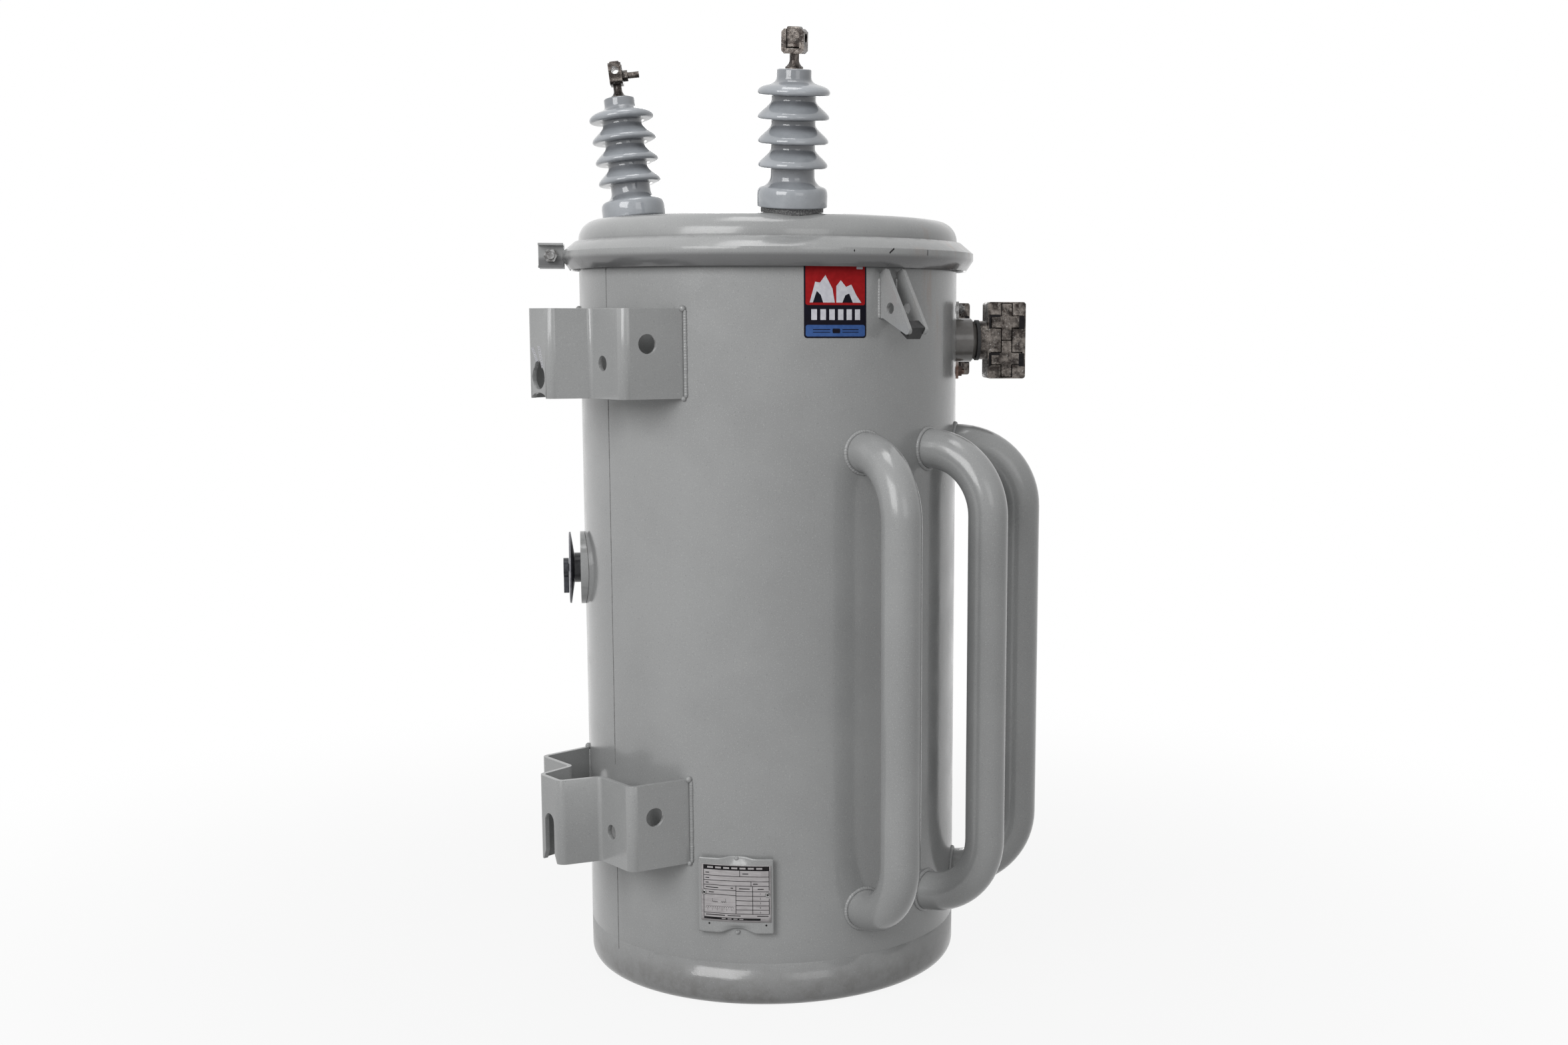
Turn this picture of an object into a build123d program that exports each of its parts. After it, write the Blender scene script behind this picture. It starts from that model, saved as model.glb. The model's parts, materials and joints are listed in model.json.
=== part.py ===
"""Pole mounted distribution transformer, three phase-lead low side, two high-side bushings.

Millimetres, +Z up. The origin is the centre of the flat tank base, on the tank axis.
The pole stands on the -X side, the low-voltage bushings look along +X.
"""
from build123d import *
from math import atan2, cos, degrees, hypot, radians, sin, sqrt
import os

# ---- clearances -------------------------------------------------------------------------
SEAT = 0.3            # gap left where a piece is welded or seated on a curved face
RUN = 0.4             # radial running clearance of the tap-changer shaft

# ---- tank -------------------------------------------------------------------------------
TANK_R = 252.0        # outer radius of the shell
WALL = 3.0            # sheet thickness of shell, base and cover
KNUCKLE_R = 44.0      # outer radius where the base turns up into the wall
BASE_RIM_Z = 60.0     # height of the weld between the base pressing and the shell
TANK_RIM_Z = 948.0    # top of the shell
LIP_T = 3.5           # rolled lip that the cover sits on

# ---- cover and its clamping band ----------------------------------------------------------
GASKET_T = 2.4
COVER_SKIRT_R = 252.0
COVER_SHOULDER_Z = 978.0   # where the skirt starts to turn in
COVER_SHOULDER_R = 26.0
COVER_DOME_R = 2800.0      # radius of the shallow dome inside the shoulder
BAND_R = 274.0        # largest radius of the band
BAND_T = 2.5
BAND_Z0 = 939.0       # lower edge
BAND_Z1 = 976.0       # upper edge
BAND_FLAT = 9.0       # height of its upright middle strip
BAND_EDGE_R0 = 264.5  # inner radius at the lower edge
BAND_EDGE_R1 = 257.0  # inner radius at the upper edge
BAND_HOLD = 0.35      # play between the lip and the band's lower bevel
BAND_DIR = 148.0      # direction of the band's bolted gap
BAND_GAP = 30.0       # width of the gap
LUG_OUT = 304.0       # how far the band's ears reach from the axis
LUG_H = 32.0
BAND_BOLT_R = 5.0

# ---- core, coils and oil -------------------------------------------------------------------
FILL_R = 222.0
FILL_TOP_Z = 905.0
FILL_KNUCKLE = 30.0

# ---- high-voltage bushings -------------------------------------------------------------------
HV_DIRS = (118.3, 241.7)
HV_R = 204.5          # distance of the foot from the tank axis
HV_TILT = 7.5         # outward lean
HV_FOOT_LIFT = 7.6    # height of the clamp ring on its outer side
HV_RING_R = 38.5
HV_SHANK_R = 23.0     # neck that passes through the cover
HV_SHANK_LEN = 45.0
HV_COLLAR_R = 43.3
HV_COLLAR_H = 24.5
HV_CORE_R = 27.0
HV_SHED_R = 43.0
HV_SHEDS = 4
HV_SHED_0 = 55.0      # height of the lowest shed's rim over the collar's foot
HV_SHED_PITCH = 29.8
HV_CAP_R = 21.0
HV_H = 173.0          # height of the porcelain
TERM_STEM_R = 6.5
TERM_FLARE_R = 12.5
TERM_W = 32.5         # across the jaws
TERM_GAP = 19.0       # between the jaws
TERM_D = 20.0         # along the bolt
TERM_Z0 = 20.0        # height of the head over the porcelain
TERM_H = 33.0
TERM_FLOOR = 7.0      # under the throat
TERM_BEVEL = 4.0
HV_EYE_R = 6.0        # radius of the conductor eye
HV_BOLT_R = 4.8

# ---- low-voltage bushings ---------------------------------------------------------------------
LV_DIRS = (-33.5, 0.0, 33.5)
LV_Z = 848.0
LV_R = 29.3
LV_END_R0 = 280.5     # distance from the tank axis to the end of the body
LV_CHAMFER = 6.0
LV_SHANK_R = 22.0     # neck that passes through the tank wall
LV_SHANK_LEN = 12.0
LV_GASKET_T = 4.5
LV_NECK_R = 26.0
LV_NECK_T = 9.5
LV_STUD_PITCH = 84.0  # between the two clamp studs
LV_STUD_R = 4.0
LV_CLAMP_W = 20.0
LV_CLAMP_T = 5.0
CON_L = 52.0          # connector, along the bushing axis
CON_H = 103.0
CON_D = 44.0
CON_BORE_PITCH = 49.0
CON_BORE_R = 8.0
CON_BORE_LEN = 44.0   # blind, from the connector's outer end
KEEPER_BAR = 16.0
KEEPER_ARM = 18.0
KEEPER_T = 10.0
KEEPER_GAP = 1.0
KEEPER_PLAY = 0.3     # gap between keeper and pocket

# ---- hanger brackets -----------------------------------------------------------------------
POLE_DIR = 180.0
BRK_T = 6.0
BRK_H = 110.0
BRK_LOW_Z = 187.7     # lower edge of the lower bracket
BRK_PITCH = 590.6     # between the two brackets
BRK_FOOT_W = 245.0    # width over the outside where it meets the tank
BRK_SHELF_W = 222.0
BRK_SHELF_X = 302.0   # distance from the tank axis to the shelf faces
BRK_HAT_FOOT_W = 80.0
BRK_HAT_W = 52.0
BRK_HAT_X = 354.0     # distance from the tank axis to the face that meets the pole
BRK_BEND_R = 9.0
SLOT_W = 22.0
SLOT_DEPTH = 63.0     # lower bracket, from the lower edge to the top of the slot
SLOT_MOUTH = 34.0
KEY_W = 18.0          # upper bracket, narrow part of the keyhole
KEY_R = 15.0          # and its wide part
KEY_Z = 26.0          # wide part's centre over the lower edge
KEY_TOP = 46.0        # top of the narrow part over the lower edge
ARCH_W = 34.0
ARCH_H = 7.0
SHELF_HOLE_R = 9.5
SHELF_HOLE_Y = 65.0
SHELF_HOLE_Z = 43.0
WING_HOLE_R = 12.0
WING_HOLE_S = 49.0    # along the wing from the tank
WING_HOLE_Z = 67.0

# ---- lifting lugs ---------------------------------------------------------------------------
LUG_DIRS = (270.0, 90.0)
EAR_T = 5.0
EAR_PITCH = 27.0      # between the middles of the two ears
EAR_TOP_Z = 927.0     # top of the weld
EAR_FOOT_Z = 877.0    # foot of the weld
EAR_PEAK = (262.0, 939.0)
EAR_TIP = (315.0, 851.0)
EAR_HOLE = (271.5, 889.0)
EAR_HOLE_R = 7.0
PAD_H = 17.0
PAD_W = 15.0

# ---- cooling tubes ---------------------------------------------------------------------------
TUBE_DIRS = (261.2, 287.4, 313.6, 46.4, 72.6, 98.8)
TUBE_R = 25.3
TUBE_AXIS_R = 341.5
TUBE_TOP_Z = 711.5
TUBE_LOW_Z = 122.5
TUBE_BEND = 62.0

# ---- nameplate -----------------------------------------------------------------------------
PLATE_DIR = 223.1
PLATE_Z = 150.5
BACK_W = 93.0
BACK_H = 98.0
BACK_T = 2.5
BACK_WAIST = 5.0      # how far its upper and lower edges dip towards the tank
LABEL_W = 83.0
LABEL_H = 73.5
LABEL_T = 1.0
LABEL_Z = 154.2

# ---- tap changer -----------------------------------------------------------------------------
TAP_DIR = 149.0
TAP_Z = 543.0
TAP_BOSS_R = 49.0
TAP_BOSS_T = 6.0
TAP_HUB_R = 20.0
TAP_HUB_T = 8.0
TAP_DIAL_R = 48.0
TAP_DIAL_T = 2.5
TAP_SHAFT_R = 5.0
TAP_AIR = 5.0         # between the dial and the turning handle
TAP_KNOB_R = 13.0
TAP_KNOB_T = 7.0
TAP_ARM_L = 34.0
TAP_ARM_W = 9.0

os.makedirs("parts", exist_ok=True)


def save(shape, name):
    solids = shape.solids()
    export_step(Compound(solids) if len(solids) > 1 else solids[0], f"parts/{name}.step")


def radial(direction, r, z):
    """Local frame on a radius: x along the tangent, y up, z outward."""
    a = radians(direction)
    out = (cos(a), sin(a), 0)
    return Plane(origin=(r * cos(a), r * sin(a), z), x_dir=(-sin(a), cos(a), 0), z_dir=out)


def rod(plane, radius, length, start=0.0):
    """Round bar along the local z axis of a plane."""
    return plane * Pos(0, 0, start) * Cylinder(radius, length, align=(Align.CENTER, Align.CENTER, Align.MIN))


def block(plane, w, h, d, at=(0, 0, 0)):
    """Box centred in local x and y that starts at local z = at[2]."""
    return plane * Pos(*at) * Box(w, h, d, align=(Align.CENTER, Align.CENTER, Align.MIN))


def drum(radius, z0, z1):
    return Pos(0, 0, z0) * Cylinder(radius, z1 - z0, align=(Align.CENTER, Align.CENTER, Align.MIN))


def ring(r_in, r_out, z0, z1):
    return drum(r_out, z0, z1) - drum(r_in, z0 - 1, z1 + 1)


def turned(profile, plane=Plane.XY):
    """Revolve a closed (r, z) outline about the local z axis of a plane."""
    face = make_face(Plane.XZ * profile)
    return plane * revolve(face, Axis.Z)


def outside_tank(shape, gap=SEAT):
    """Cope a piece to the tank wall."""
    return shape - drum(TANK_R + gap, -100, 1500)


def band_levels():
    """Lower and upper edge of the band's upright middle strip."""
    middle = (BAND_Z0 + BAND_Z1) / 2
    return middle - BAND_FLAT / 2, middle + BAND_FLAT / 2


def lip_radius():
    """Outer radius of the lip and of the cover's flange, held by the band's lower bevel."""
    rise = band_levels()[0] + BAND_T / 2 - (BAND_Z0 + BAND_T)
    run = BAND_R - BAND_T - (BAND_EDGE_R0 - 1.0)
    under_lip = TANK_RIM_Z - LIP_T - (BAND_Z0 + BAND_T)
    return BAND_EDGE_R0 - 1.0 + run * under_lip / rise - BAND_HOLD


# ---- tank ------------------------------------------------------------------------------------
def tank_bottom():
    k, t = KNUCKLE_R, WALL
    turn = CenterArc((TANK_R - k, k), k, -90, 90)
    inner_turn = CenterArc((TANK_R - k, k), k - t, -90, 90)
    outline = Curve() + [
        Line((0, 0), (TANK_R - k, 0)),
        turn,
        Line((TANK_R, k), (TANK_R, BASE_RIM_Z)),
        Line((TANK_R, BASE_RIM_Z), (TANK_R - t, BASE_RIM_Z)),
        Line((TANK_R - t, BASE_RIM_Z), (TANK_R - t, k)),
        inner_turn,
        Line((TANK_R - k, t), (0, t)),
        Line((0, t), (0, 0)),
    ]
    return turned(outline)


def tank_shell():
    wall = ring(TANK_R - WALL, TANK_R, BASE_RIM_Z, TANK_RIM_Z)
    lip = ring(TANK_R - WALL, lip_radius(), TANK_RIM_Z - LIP_T, TANK_RIM_Z)
    shell = wall + lip
    for direction in LV_DIRS:
        shell -= rod(radial(direction, 0, LV_Z), LV_SHANK_R + 1.0, TANK_R + 20)
    shell -= rod(radial(TAP_DIR, 0, TAP_Z), TAP_SHAFT_R + 1.5, TANK_R + 20)
    return shell


def fill():
    """Core, coils and oil as one body, clear of the wall and of every bushing shank."""
    z0 = WALL + SEAT
    body = drum(FILL_R, z0, FILL_TOP_Z)
    foot = body.edges().filter_by(GeomType.CIRCLE).sort_by(Axis.Z)[0]
    return fillet(foot, FILL_KNUCKLE)


def dome_centre_z():
    """Centre of the dome, placed so that it runs smoothly into the shoulder."""
    shoulder_x = COVER_SKIRT_R - COVER_SHOULDER_R
    return COVER_SHOULDER_Z - sqrt((COVER_DOME_R - COVER_SHOULDER_R) ** 2 - shoulder_x**2)


def cover_height(r):
    return dome_centre_z() + sqrt(COVER_DOME_R**2 - r**2)


def cover_solid(inset, z0):
    """Everything under the cover's surface moved in by inset, down to z0."""
    cx = COVER_SKIRT_R - COVER_SHOULDER_R
    cz = COVER_SHOULDER_Z
    dz = dome_centre_z()
    shoulder_r = COVER_SHOULDER_R - inset
    dome_r = COVER_DOME_R - inset
    turn = degrees(atan2(cz - dz, cx))
    outline = Curve() + [
        Polyline((0, z0), (COVER_SKIRT_R - inset, z0), (COVER_SKIRT_R - inset, cz)),
        CenterArc((cx, cz), shoulder_r, 0, turn),
        CenterArc((0, dz), dome_r, turn, 90 - turn),
        Line((0, dz + dome_r), (0, z0)),
    ]
    return turned(outline)


def tank_cover():
    z0 = TANK_RIM_Z + GASKET_T
    shell = cover_solid(0, z0) - cover_solid(WALL, z0 - 1)
    flange = ring(COVER_SKIRT_R - WALL, lip_radius(), z0, z0 + WALL)
    cover = shell + flange
    for direction in HV_DIRS:
        cover -= rod(hv_plane(direction), HV_SHANK_R + 1.5, 60, -55)
    return cover


def cover_gasket():
    return ring(COVER_SKIRT_R + 1.0, lip_radius() - 1.0, TANK_RIM_Z, TANK_RIM_Z + GASKET_T)


def band_outline():
    lo, hi = band_levels()
    t = BAND_T
    return Polyline(
        (BAND_EDGE_R0, BAND_Z0), (BAND_R, lo), (BAND_R, hi), (BAND_EDGE_R1, BAND_Z1),
        (BAND_EDGE_R1 - 1.0, BAND_Z1 - t), (BAND_R - t, hi - 0.5 * t), (BAND_R - t, lo + 0.5 * t),
        (BAND_EDGE_R0 - 1.0, BAND_Z0 + t), (BAND_EDGE_R0, BAND_Z0),
    )


def cover_band():
    band = turned(band_outline())
    mid_z = (BAND_Z0 + BAND_Z1) / 2
    frame = radial(BAND_DIR, 0, mid_z)
    band -= block(frame, BAND_GAP, 80, 100, (0, 0, 230))
    root = BAND_R - BAND_T - 0.5
    for side in (-1, 1):
        x = side * (BAND_GAP / 2 + 1.5)
        ear = block(frame, 3.0, LUG_H, LUG_OUT - root, (x, 0, root))
        for edge in (-1, 1):
            flange = block(frame, 14.0, 3.0, LUG_OUT - root, (x + side * 5.5, edge * (LUG_H / 2 - 1.5), root))
            ear += flange
        band += ear
    band -= band_bolt_frame() * Cylinder(BAND_BOLT_R + 0.5, 120)
    return band


def band_bolt_frame():
    frame = radial(BAND_DIR, 288.0, (BAND_Z0 + BAND_Z1) / 2)
    return frame * Rot(0, 90, 0)


def hexagon(across, length):
    return extrude(RegularPolygon(across / sqrt(3), 6), length)


def band_bolt():
    frame = band_bolt_frame()
    half = BAND_GAP / 2 + 3.0 + SEAT
    shank = frame * Cylinder(BAND_BOLT_R, 2 * half + 18)
    head = frame * Pos(0, 0, half) * hexagon(16, 7)
    nut = frame * Pos(0, 0, -half - 8) * hexagon(16, 8)
    return shank + head + nut


# ---- high-voltage bushings ------------------------------------------------------------------------
def hv_plane(direction):
    """Local frame of a bushing: z up its axis, x towards the outside of the tank."""
    a = radians(direction)
    b = radians(HV_TILT)
    up = (cos(a) * sin(b), sin(a) * sin(b), cos(b))
    out = (cos(a) * cos(b), sin(a) * cos(b), -sin(b))
    lift = HV_FOOT_LIFT + HV_RING_R * sin(b)
    z = cover_height(HV_R) + lift
    return Plane(origin=(HV_R * cos(a), HV_R * sin(a), z), x_dir=out, z_dir=up)


def hv_porcelain(plane):
    """Glazed body: collar, sheds with flat undersides, and the top cap."""
    lines = [Line((0, 0), (HV_COLLAR_R - 2, 0))]
    lines += [Line((HV_COLLAR_R - 2, 0), (HV_COLLAR_R, 2))]
    lines += [Line((HV_COLLAR_R, 2), (HV_COLLAR_R, HV_COLLAR_H - 5))]
    lines += [RadiusArc((HV_COLLAR_R, HV_COLLAR_H - 5), (HV_COLLAR_R - 5, HV_COLLAR_H), -5)]
    core_foot = HV_COLLAR_H + 9
    lines += [RadiusArc((HV_COLLAR_R - 5, HV_COLLAR_H), (HV_CORE_R, core_foot), 11.5)]
    here = (HV_CORE_R, core_foot)
    for i in range(HV_SHEDS):
        rim = HV_SHED_0 + i * HV_SHED_PITCH
        last = i == HV_SHEDS - 1
        under = rim - 5.5
        r = HV_SHED_R + 0.5 * i
        lines += [Line(here, (HV_CORE_R, under))]
        lines += [Line((HV_CORE_R, under), (r - 4, under + 0.8))]
        lines += [RadiusArc((r - 4, under + 0.8), (r - 2.0, rim + 3.2), -4.2)]
        if last:
            top = (HV_CAP_R, HV_H - 14)
            lines += [RadiusArc((r - 2.0, rim + 3.2), (HV_CAP_R + 4, HV_H - 17.5), -34)]
            lines += [RadiusArc((HV_CAP_R + 4, HV_H - 17.5), top, 4.5)]
            here = top
        else:
            here = (HV_CORE_R, rim + 16.5)
            lines += [RadiusArc((r - 2.0, rim + 3.2), here, 30)]
    lines += [Line(here, (HV_CAP_R, HV_H - 2))]
    lines += [Line((HV_CAP_R, HV_H - 2), (HV_CAP_R - 2, HV_H))]
    lines += [Line((HV_CAP_R - 2, HV_H), (0, HV_H))]
    lines += [Line((0, HV_H), (0, 0))]
    body = turned(Curve() + lines, plane)
    return body + rod(plane, HV_SHANK_R, HV_SHANK_LEN + 1, -HV_SHANK_LEN)


def hv_ring(plane):
    """Wedge-shaped foot ring between the sloping bushing and the cover."""
    body = rod(plane, HV_RING_R, 40, -40 - SEAT)
    return body - cover_solid(-SEAT, 800) - rod(plane, HV_SHANK_R + 1.5, 80, -60)


def term_plane(plane, direction):
    """Frame on top of the porcelain, x turned towards the clamp bolt's side."""
    side = 1 if direction < 180 else -1
    along = radians(-36.5 * side)
    up = plane.z_dir
    want = Vector(cos(along), sin(along), 0)
    x = want - up * want.dot(up)
    origin = plane.origin + up * (HV_H + SEAT)
    return Plane(origin=origin, x_dir=x.normalized(), z_dir=up)


def hv_terminal(frame):
    """Cast eye terminal: flared foot, stem and two jaws."""
    outline = Curve() + [
        Polyline((0, 0), (TERM_FLARE_R, 0), (TERM_FLARE_R, 2.5)),
        RadiusArc((TERM_FLARE_R, 2.5), (TERM_STEM_R, 12), 11),
        Polyline((TERM_STEM_R, 12), (TERM_STEM_R, TERM_Z0 + 4), (0, TERM_Z0 + 4), (0, 0)),
    ]
    post = turned(outline, frame)
    head = frame * Pos(0, 0, TERM_Z0) * Box(TERM_D, TERM_W, TERM_H, align=(Align.CENTER, Align.CENTER, Align.MIN))
    head = chamfer(head.edges().filter_by(lambda e: abs(e.tangent_at(0).dot(frame.x_dir)) > 0.9), TERM_BEVEL)
    throat = frame * Pos(0, 0, TERM_Z0 + TERM_FLOOR) * Box(
        TERM_D + 2, TERM_GAP, TERM_H, align=(Align.CENTER, Align.CENTER, Align.MIN))
    return post + head - throat - hv_eye(frame)


def hv_eye(frame):
    """Hole for the conductor, across both jaws."""
    return frame * Pos(0, 0, TERM_Z0 + TERM_H - 12) * Rot(90, 0, 0) * Cylinder(HV_EYE_R, 60)


def hv_clamp(frame):
    """Pressure piece between the jaws with its bolt and nut."""
    z0 = TERM_Z0 + TERM_FLOOR + SEAT
    pad = frame * Pos(0, 0, z0) * Box(
        TERM_D - 5, TERM_GAP - 2 * SEAT, TERM_H - 4, align=(Align.CENTER, Align.CENTER, Align.MIN))
    pad = fillet(pad.edges().filter_by(lambda e: abs(e.tangent_at(0).dot(frame.z_dir)) < 0.1), 2.5)
    bolt_frame = frame * Pos(0, 0, z0 + 6) * Rot(0, 90, 0)
    bolt = bolt_frame * Cylinder(HV_BOLT_R, 36, align=(Align.CENTER, Align.CENTER, Align.MIN))
    nut = bolt_frame * Pos(0, 0, TERM_D / 2 + SEAT) * hexagon(15, 8)
    return pad + bolt + nut - hv_eye(frame)


# ---- low-voltage bushings ---------------------------------------------------------------------------
def lv_body(direction):
    frame = radial(direction, 0, LV_Z)
    body = outside_tank(rod(frame, LV_R, LV_END_R0 - 200, 200))
    end = body.edges().filter_by(GeomType.CIRCLE).sort_by(lambda e: e.center().length)[-1]
    body = chamfer(end, LV_CHAMFER)
    shank = rod(frame, LV_SHANK_R, LV_SHANK_LEN + WALL + 6, TANK_R - WALL - LV_SHANK_LEN)
    return body + shank


def lv_clamp(direction):
    """Flange bar under the body with its two studs and nuts."""
    frame = radial(direction, 0, LV_Z)
    height = LV_STUD_PITCH + LV_CLAMP_W
    bar = outside_tank(block(frame, LV_CLAMP_W, height, LV_CLAMP_T + TANK_R - 230, (0, 0, 230)))
    bar -= rod(frame, LV_R + SEAT, 400)
    for side in (-1, 1):
        at = frame * Pos(0, side * LV_STUD_PITCH / 2, TANK_R + LV_CLAMP_T - 1)
        bar += at * hexagon(13, 6.5)
        bar += at * Cylinder(LV_STUD_R, 10, align=(Align.CENTER, Align.CENTER, Align.MIN))
    return bar


def lv_gasket(direction):
    frame = radial(direction, LV_END_R0 + SEAT, LV_Z)
    return rod(frame, LV_R - LV_CHAMFER + 4, LV_GASKET_T)


def lv_connector(direction):
    start = LV_END_R0 + LV_GASKET_T + 2 * SEAT
    frame = radial(direction, start, LV_Z)
    neck = rod(frame, LV_NECK_R, LV_NECK_T + 1)
    body = block(frame, CON_D, CON_H, CON_L, (0, 0, LV_NECK_T))
    body = fillet(body.edges().filter_by(lambda e: abs(e.tangent_at(0).dot(frame.x_dir)) > 0.9), 4.0)
    body = neck + body
    for side in (-1, 1):
        y = side * CON_BORE_PITCH / 2
        body -= rod(frame * Pos(0, y, 0), CON_BORE_R, CON_BORE_LEN + 5, LV_NECK_T + CON_L - CON_BORE_LEN)
        body -= keeper_tool(frame, y, 0.0, KEEPER_T)
    return body


def keeper_tool(frame, y, slack, depth):
    """Cross-shaped pocket or keeper on the connector's face."""
    z0 = LV_NECK_T
    x = -CON_D / 2 + depth / 2
    bar = Box(depth, CON_BORE_PITCH + 2 - 2 * slack, KEEPER_BAR - 2 * slack)
    arm = Box(depth, KEEPER_ARM - 2 * slack, CON_L - 8 - 2 * slack)
    at = frame * Pos(x, y, z0 + CON_L / 2)
    return at * (bar + arm)


def lv_keepers(direction):
    frame = radial(direction, LV_END_R0 + LV_GASKET_T + 2 * SEAT, LV_Z)
    pair = []
    for side in (-1, 1):
        y = side * (CON_BORE_PITCH / 2 + 0.25)
        tool = keeper_tool(frame, y, KEEPER_GAP, KEEPER_T - KEEPER_PLAY)
        pair.append(tool)
    return Compound([s for shape in pair for s in shape.solids()])


# ---- hanger brackets -----------------------------------------------------------------------------
def bracket(z0, upper):
    """Pressed hat-section bracket that hangs the tank on the pole."""
    half = BRK_T / 2
    foot_x = sqrt(TANK_R**2 - (BRK_FOOT_W / 2) ** 2)
    right = [
        (foot_x - 8, BRK_FOOT_W / 2 - half),
        (BRK_SHELF_X - half, BRK_SHELF_W / 2 - half),
        (BRK_SHELF_X - half, BRK_HAT_FOOT_W / 2 - half),
        (BRK_HAT_X - half, BRK_HAT_W / 2 - half),
    ]
    left = [(x, -y) for x, y in reversed(right)]
    path = FilletPolyline(*[(-x, y) for x, y in right + left], radius=BRK_BEND_R)
    section = trace(path, line_width=BRK_T)
    body = Pos(0, 0, z0) * extrude(section, BRK_H)
    body = outside_tank(body)
    face = Plane(origin=(-BRK_HAT_X - 10, 0, z0), x_dir=(0, -1, 0), z_dir=(-1, 0, 0))
    depth = 30
    if upper:
        body -= slot_cut(face, KEY_W, KEY_Z, KEY_TOP, depth)
        body -= face * Pos(0, KEY_Z, -depth) * Cylinder(KEY_R, depth, align=(Align.CENTER, Align.CENTER, Align.MIN))
        body -= face * Pos(0, 0, -depth) * extrude(Ellipse(ARCH_W / 2, ARCH_H), depth)
    else:
        body -= slot_cut(face, SLOT_W, -5, SLOT_DEPTH, depth)
        mouth = Polygon((-SLOT_MOUTH / 2, -1), (SLOT_MOUTH / 2, -1), (SLOT_W / 2, 12), (-SLOT_W / 2, 12), align=None)
        body -= face * Pos(0, 0, -depth) * extrude(mouth, depth)
    for side in (-1, 1):
        shelf = Plane(origin=(-BRK_SHELF_X - 10, side * SHELF_HOLE_Y, z0 + SHELF_HOLE_Z), z_dir=(1, 0, 0))
        body -= rod(shelf, SHELF_HOLE_R, 30)
        run = (BRK_SHELF_X - foot_x, (BRK_SHELF_W - BRK_FOOT_W) / 2)
        length = hypot(*run)
        out_dir = (-run[1] / length * -1, side * run[0] / length, 0)
        x = -(foot_x + run[0] * WING_HOLE_S / length)
        y = side * (BRK_FOOT_W / 2 + run[1] * WING_HOLE_S / length)
        wing = Plane(origin=(x, y, z0 + WING_HOLE_Z), z_dir=out_dir)
        body -= rod(wing, WING_HOLE_R, 24, -12)
    return body


def slot_cut(face, width, low, top, depth):
    """Upright slot with a round top."""
    r = width / 2
    straight = face * Pos(0, (low + top - r) / 2, -depth) * Box(
        width, top - r - low, depth, align=(Align.CENTER, Align.CENTER, Align.MIN))
    crown = face * Pos(0, top - r, -depth) * Cylinder(r, depth, align=(Align.CENTER, Align.CENTER, Align.MIN))
    return straight + crown


# ---- lifting lugs ----------------------------------------------------------------------------------
def lug_frame(direction):
    """x outward, y up, z along the tangent."""
    a = radians(direction)
    return Plane(origin=(0, 0, 0), x_dir=(cos(a), sin(a), 0), z_dir=(sin(a), -cos(a), 0))


def lifting_ears(direction):
    inner = sqrt(TANK_R**2 - (EAR_PITCH / 2 + EAR_T) ** 2) - 6
    outline = make_face(Polyline(
        (inner, EAR_FOOT_Z), (EAR_TIP[0] - 57, EAR_FOOT_Z), EAR_TIP, EAR_PEAK, (inner, EAR_TOP_Z), close=True))
    corners = outline.vertices().sort_by(Axis.X)
    outline = fillet(corners[-1:], 5)
    outline = fillet([v for v in outline.vertices() if abs(v.Y - EAR_PEAK[1]) < 0.01], 2.5)
    ear = extrude(outline, EAR_T / 2, both=True)
    ear -= Pos(EAR_HOLE[0], EAR_HOLE[1], 0) * Cylinder(EAR_HOLE_R, 4 * EAR_T)
    solids = []
    for side in (-1, 1):
        placed = lug_frame(direction) * Pos(0, 0, side * EAR_PITCH / 2) * ear
        solids += outside_tank(placed).solids()
    return Compound(solids)


def lug_pad(direction):
    """Rubber block held between the lower tips of the ears."""
    frame = lug_frame(direction)
    width = EAR_PITCH - EAR_T - 2 * SEAT
    pad = frame * Pos(EAR_TIP[0] - 19, EAR_TIP[1] + 12, 0) * Rot(0, 0, -35) * Box(PAD_W, PAD_H, width)
    return pad


# ---- cooling tubes -----------------------------------------------------------------------------------
def cooling_tube(direction):
    a = radians(direction)
    plane = Plane(origin=(0, 0, 0), x_dir=(cos(a), sin(a), 0), z_dir=(sin(a), -cos(a), 0))
    start = TANK_R - 10
    corners = [(start, TUBE_TOP_Z), (TUBE_AXIS_R, TUBE_TOP_Z), (TUBE_AXIS_R, TUBE_LOW_Z), (start, TUBE_LOW_Z)]
    path = plane * FilletPolyline(*corners, radius=TUBE_BEND)
    mouth = Plane(origin=path @ 0, z_dir=path % 0)
    tube = sweep(mouth * Circle(TUBE_R), path=path)
    return outside_tank(tube)


# ---- nameplate ------------------------------------------------------------------------------------------
def curved_plate(direction, z, width, height, r_in, thickness, waist=0.0):
    half = width / 2 / r_in
    blank = ring(r_in, r_in + thickness, z - height / 2, z + height / 2)
    frame = radial(direction, 0, z)
    keep = block(frame, 2 * (r_in + thickness) * sin(half), height + 10, 400, (0, 0, 0))
    plate = blank & keep
    if waist:
        for side in (-1, 1):
            notch = frame * Pos(0, side * (height / 2 + 11), 0) * Cylinder(18, 500)
            plate -= notch
    return plate


def nameplate_backing():
    return curved_plate(PLATE_DIR, PLATE_Z, BACK_W, BACK_H, TANK_R + SEAT, BACK_T, BACK_WAIST)


def nameplate():
    return curved_plate(PLATE_DIR, LABEL_Z, LABEL_W, LABEL_H, TANK_R + BACK_T + 2 * SEAT, LABEL_T)


# ---- tap changer -------------------------------------------------------------------------------------------
def tap_boss():
    frame = radial(TAP_DIR, 0, TAP_Z)
    boss = outside_tank(rod(frame, TAP_BOSS_R, TANK_R + TAP_BOSS_T - 200, 200))
    return boss - rod(frame, TAP_SHAFT_R + RUN, 400)


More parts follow.
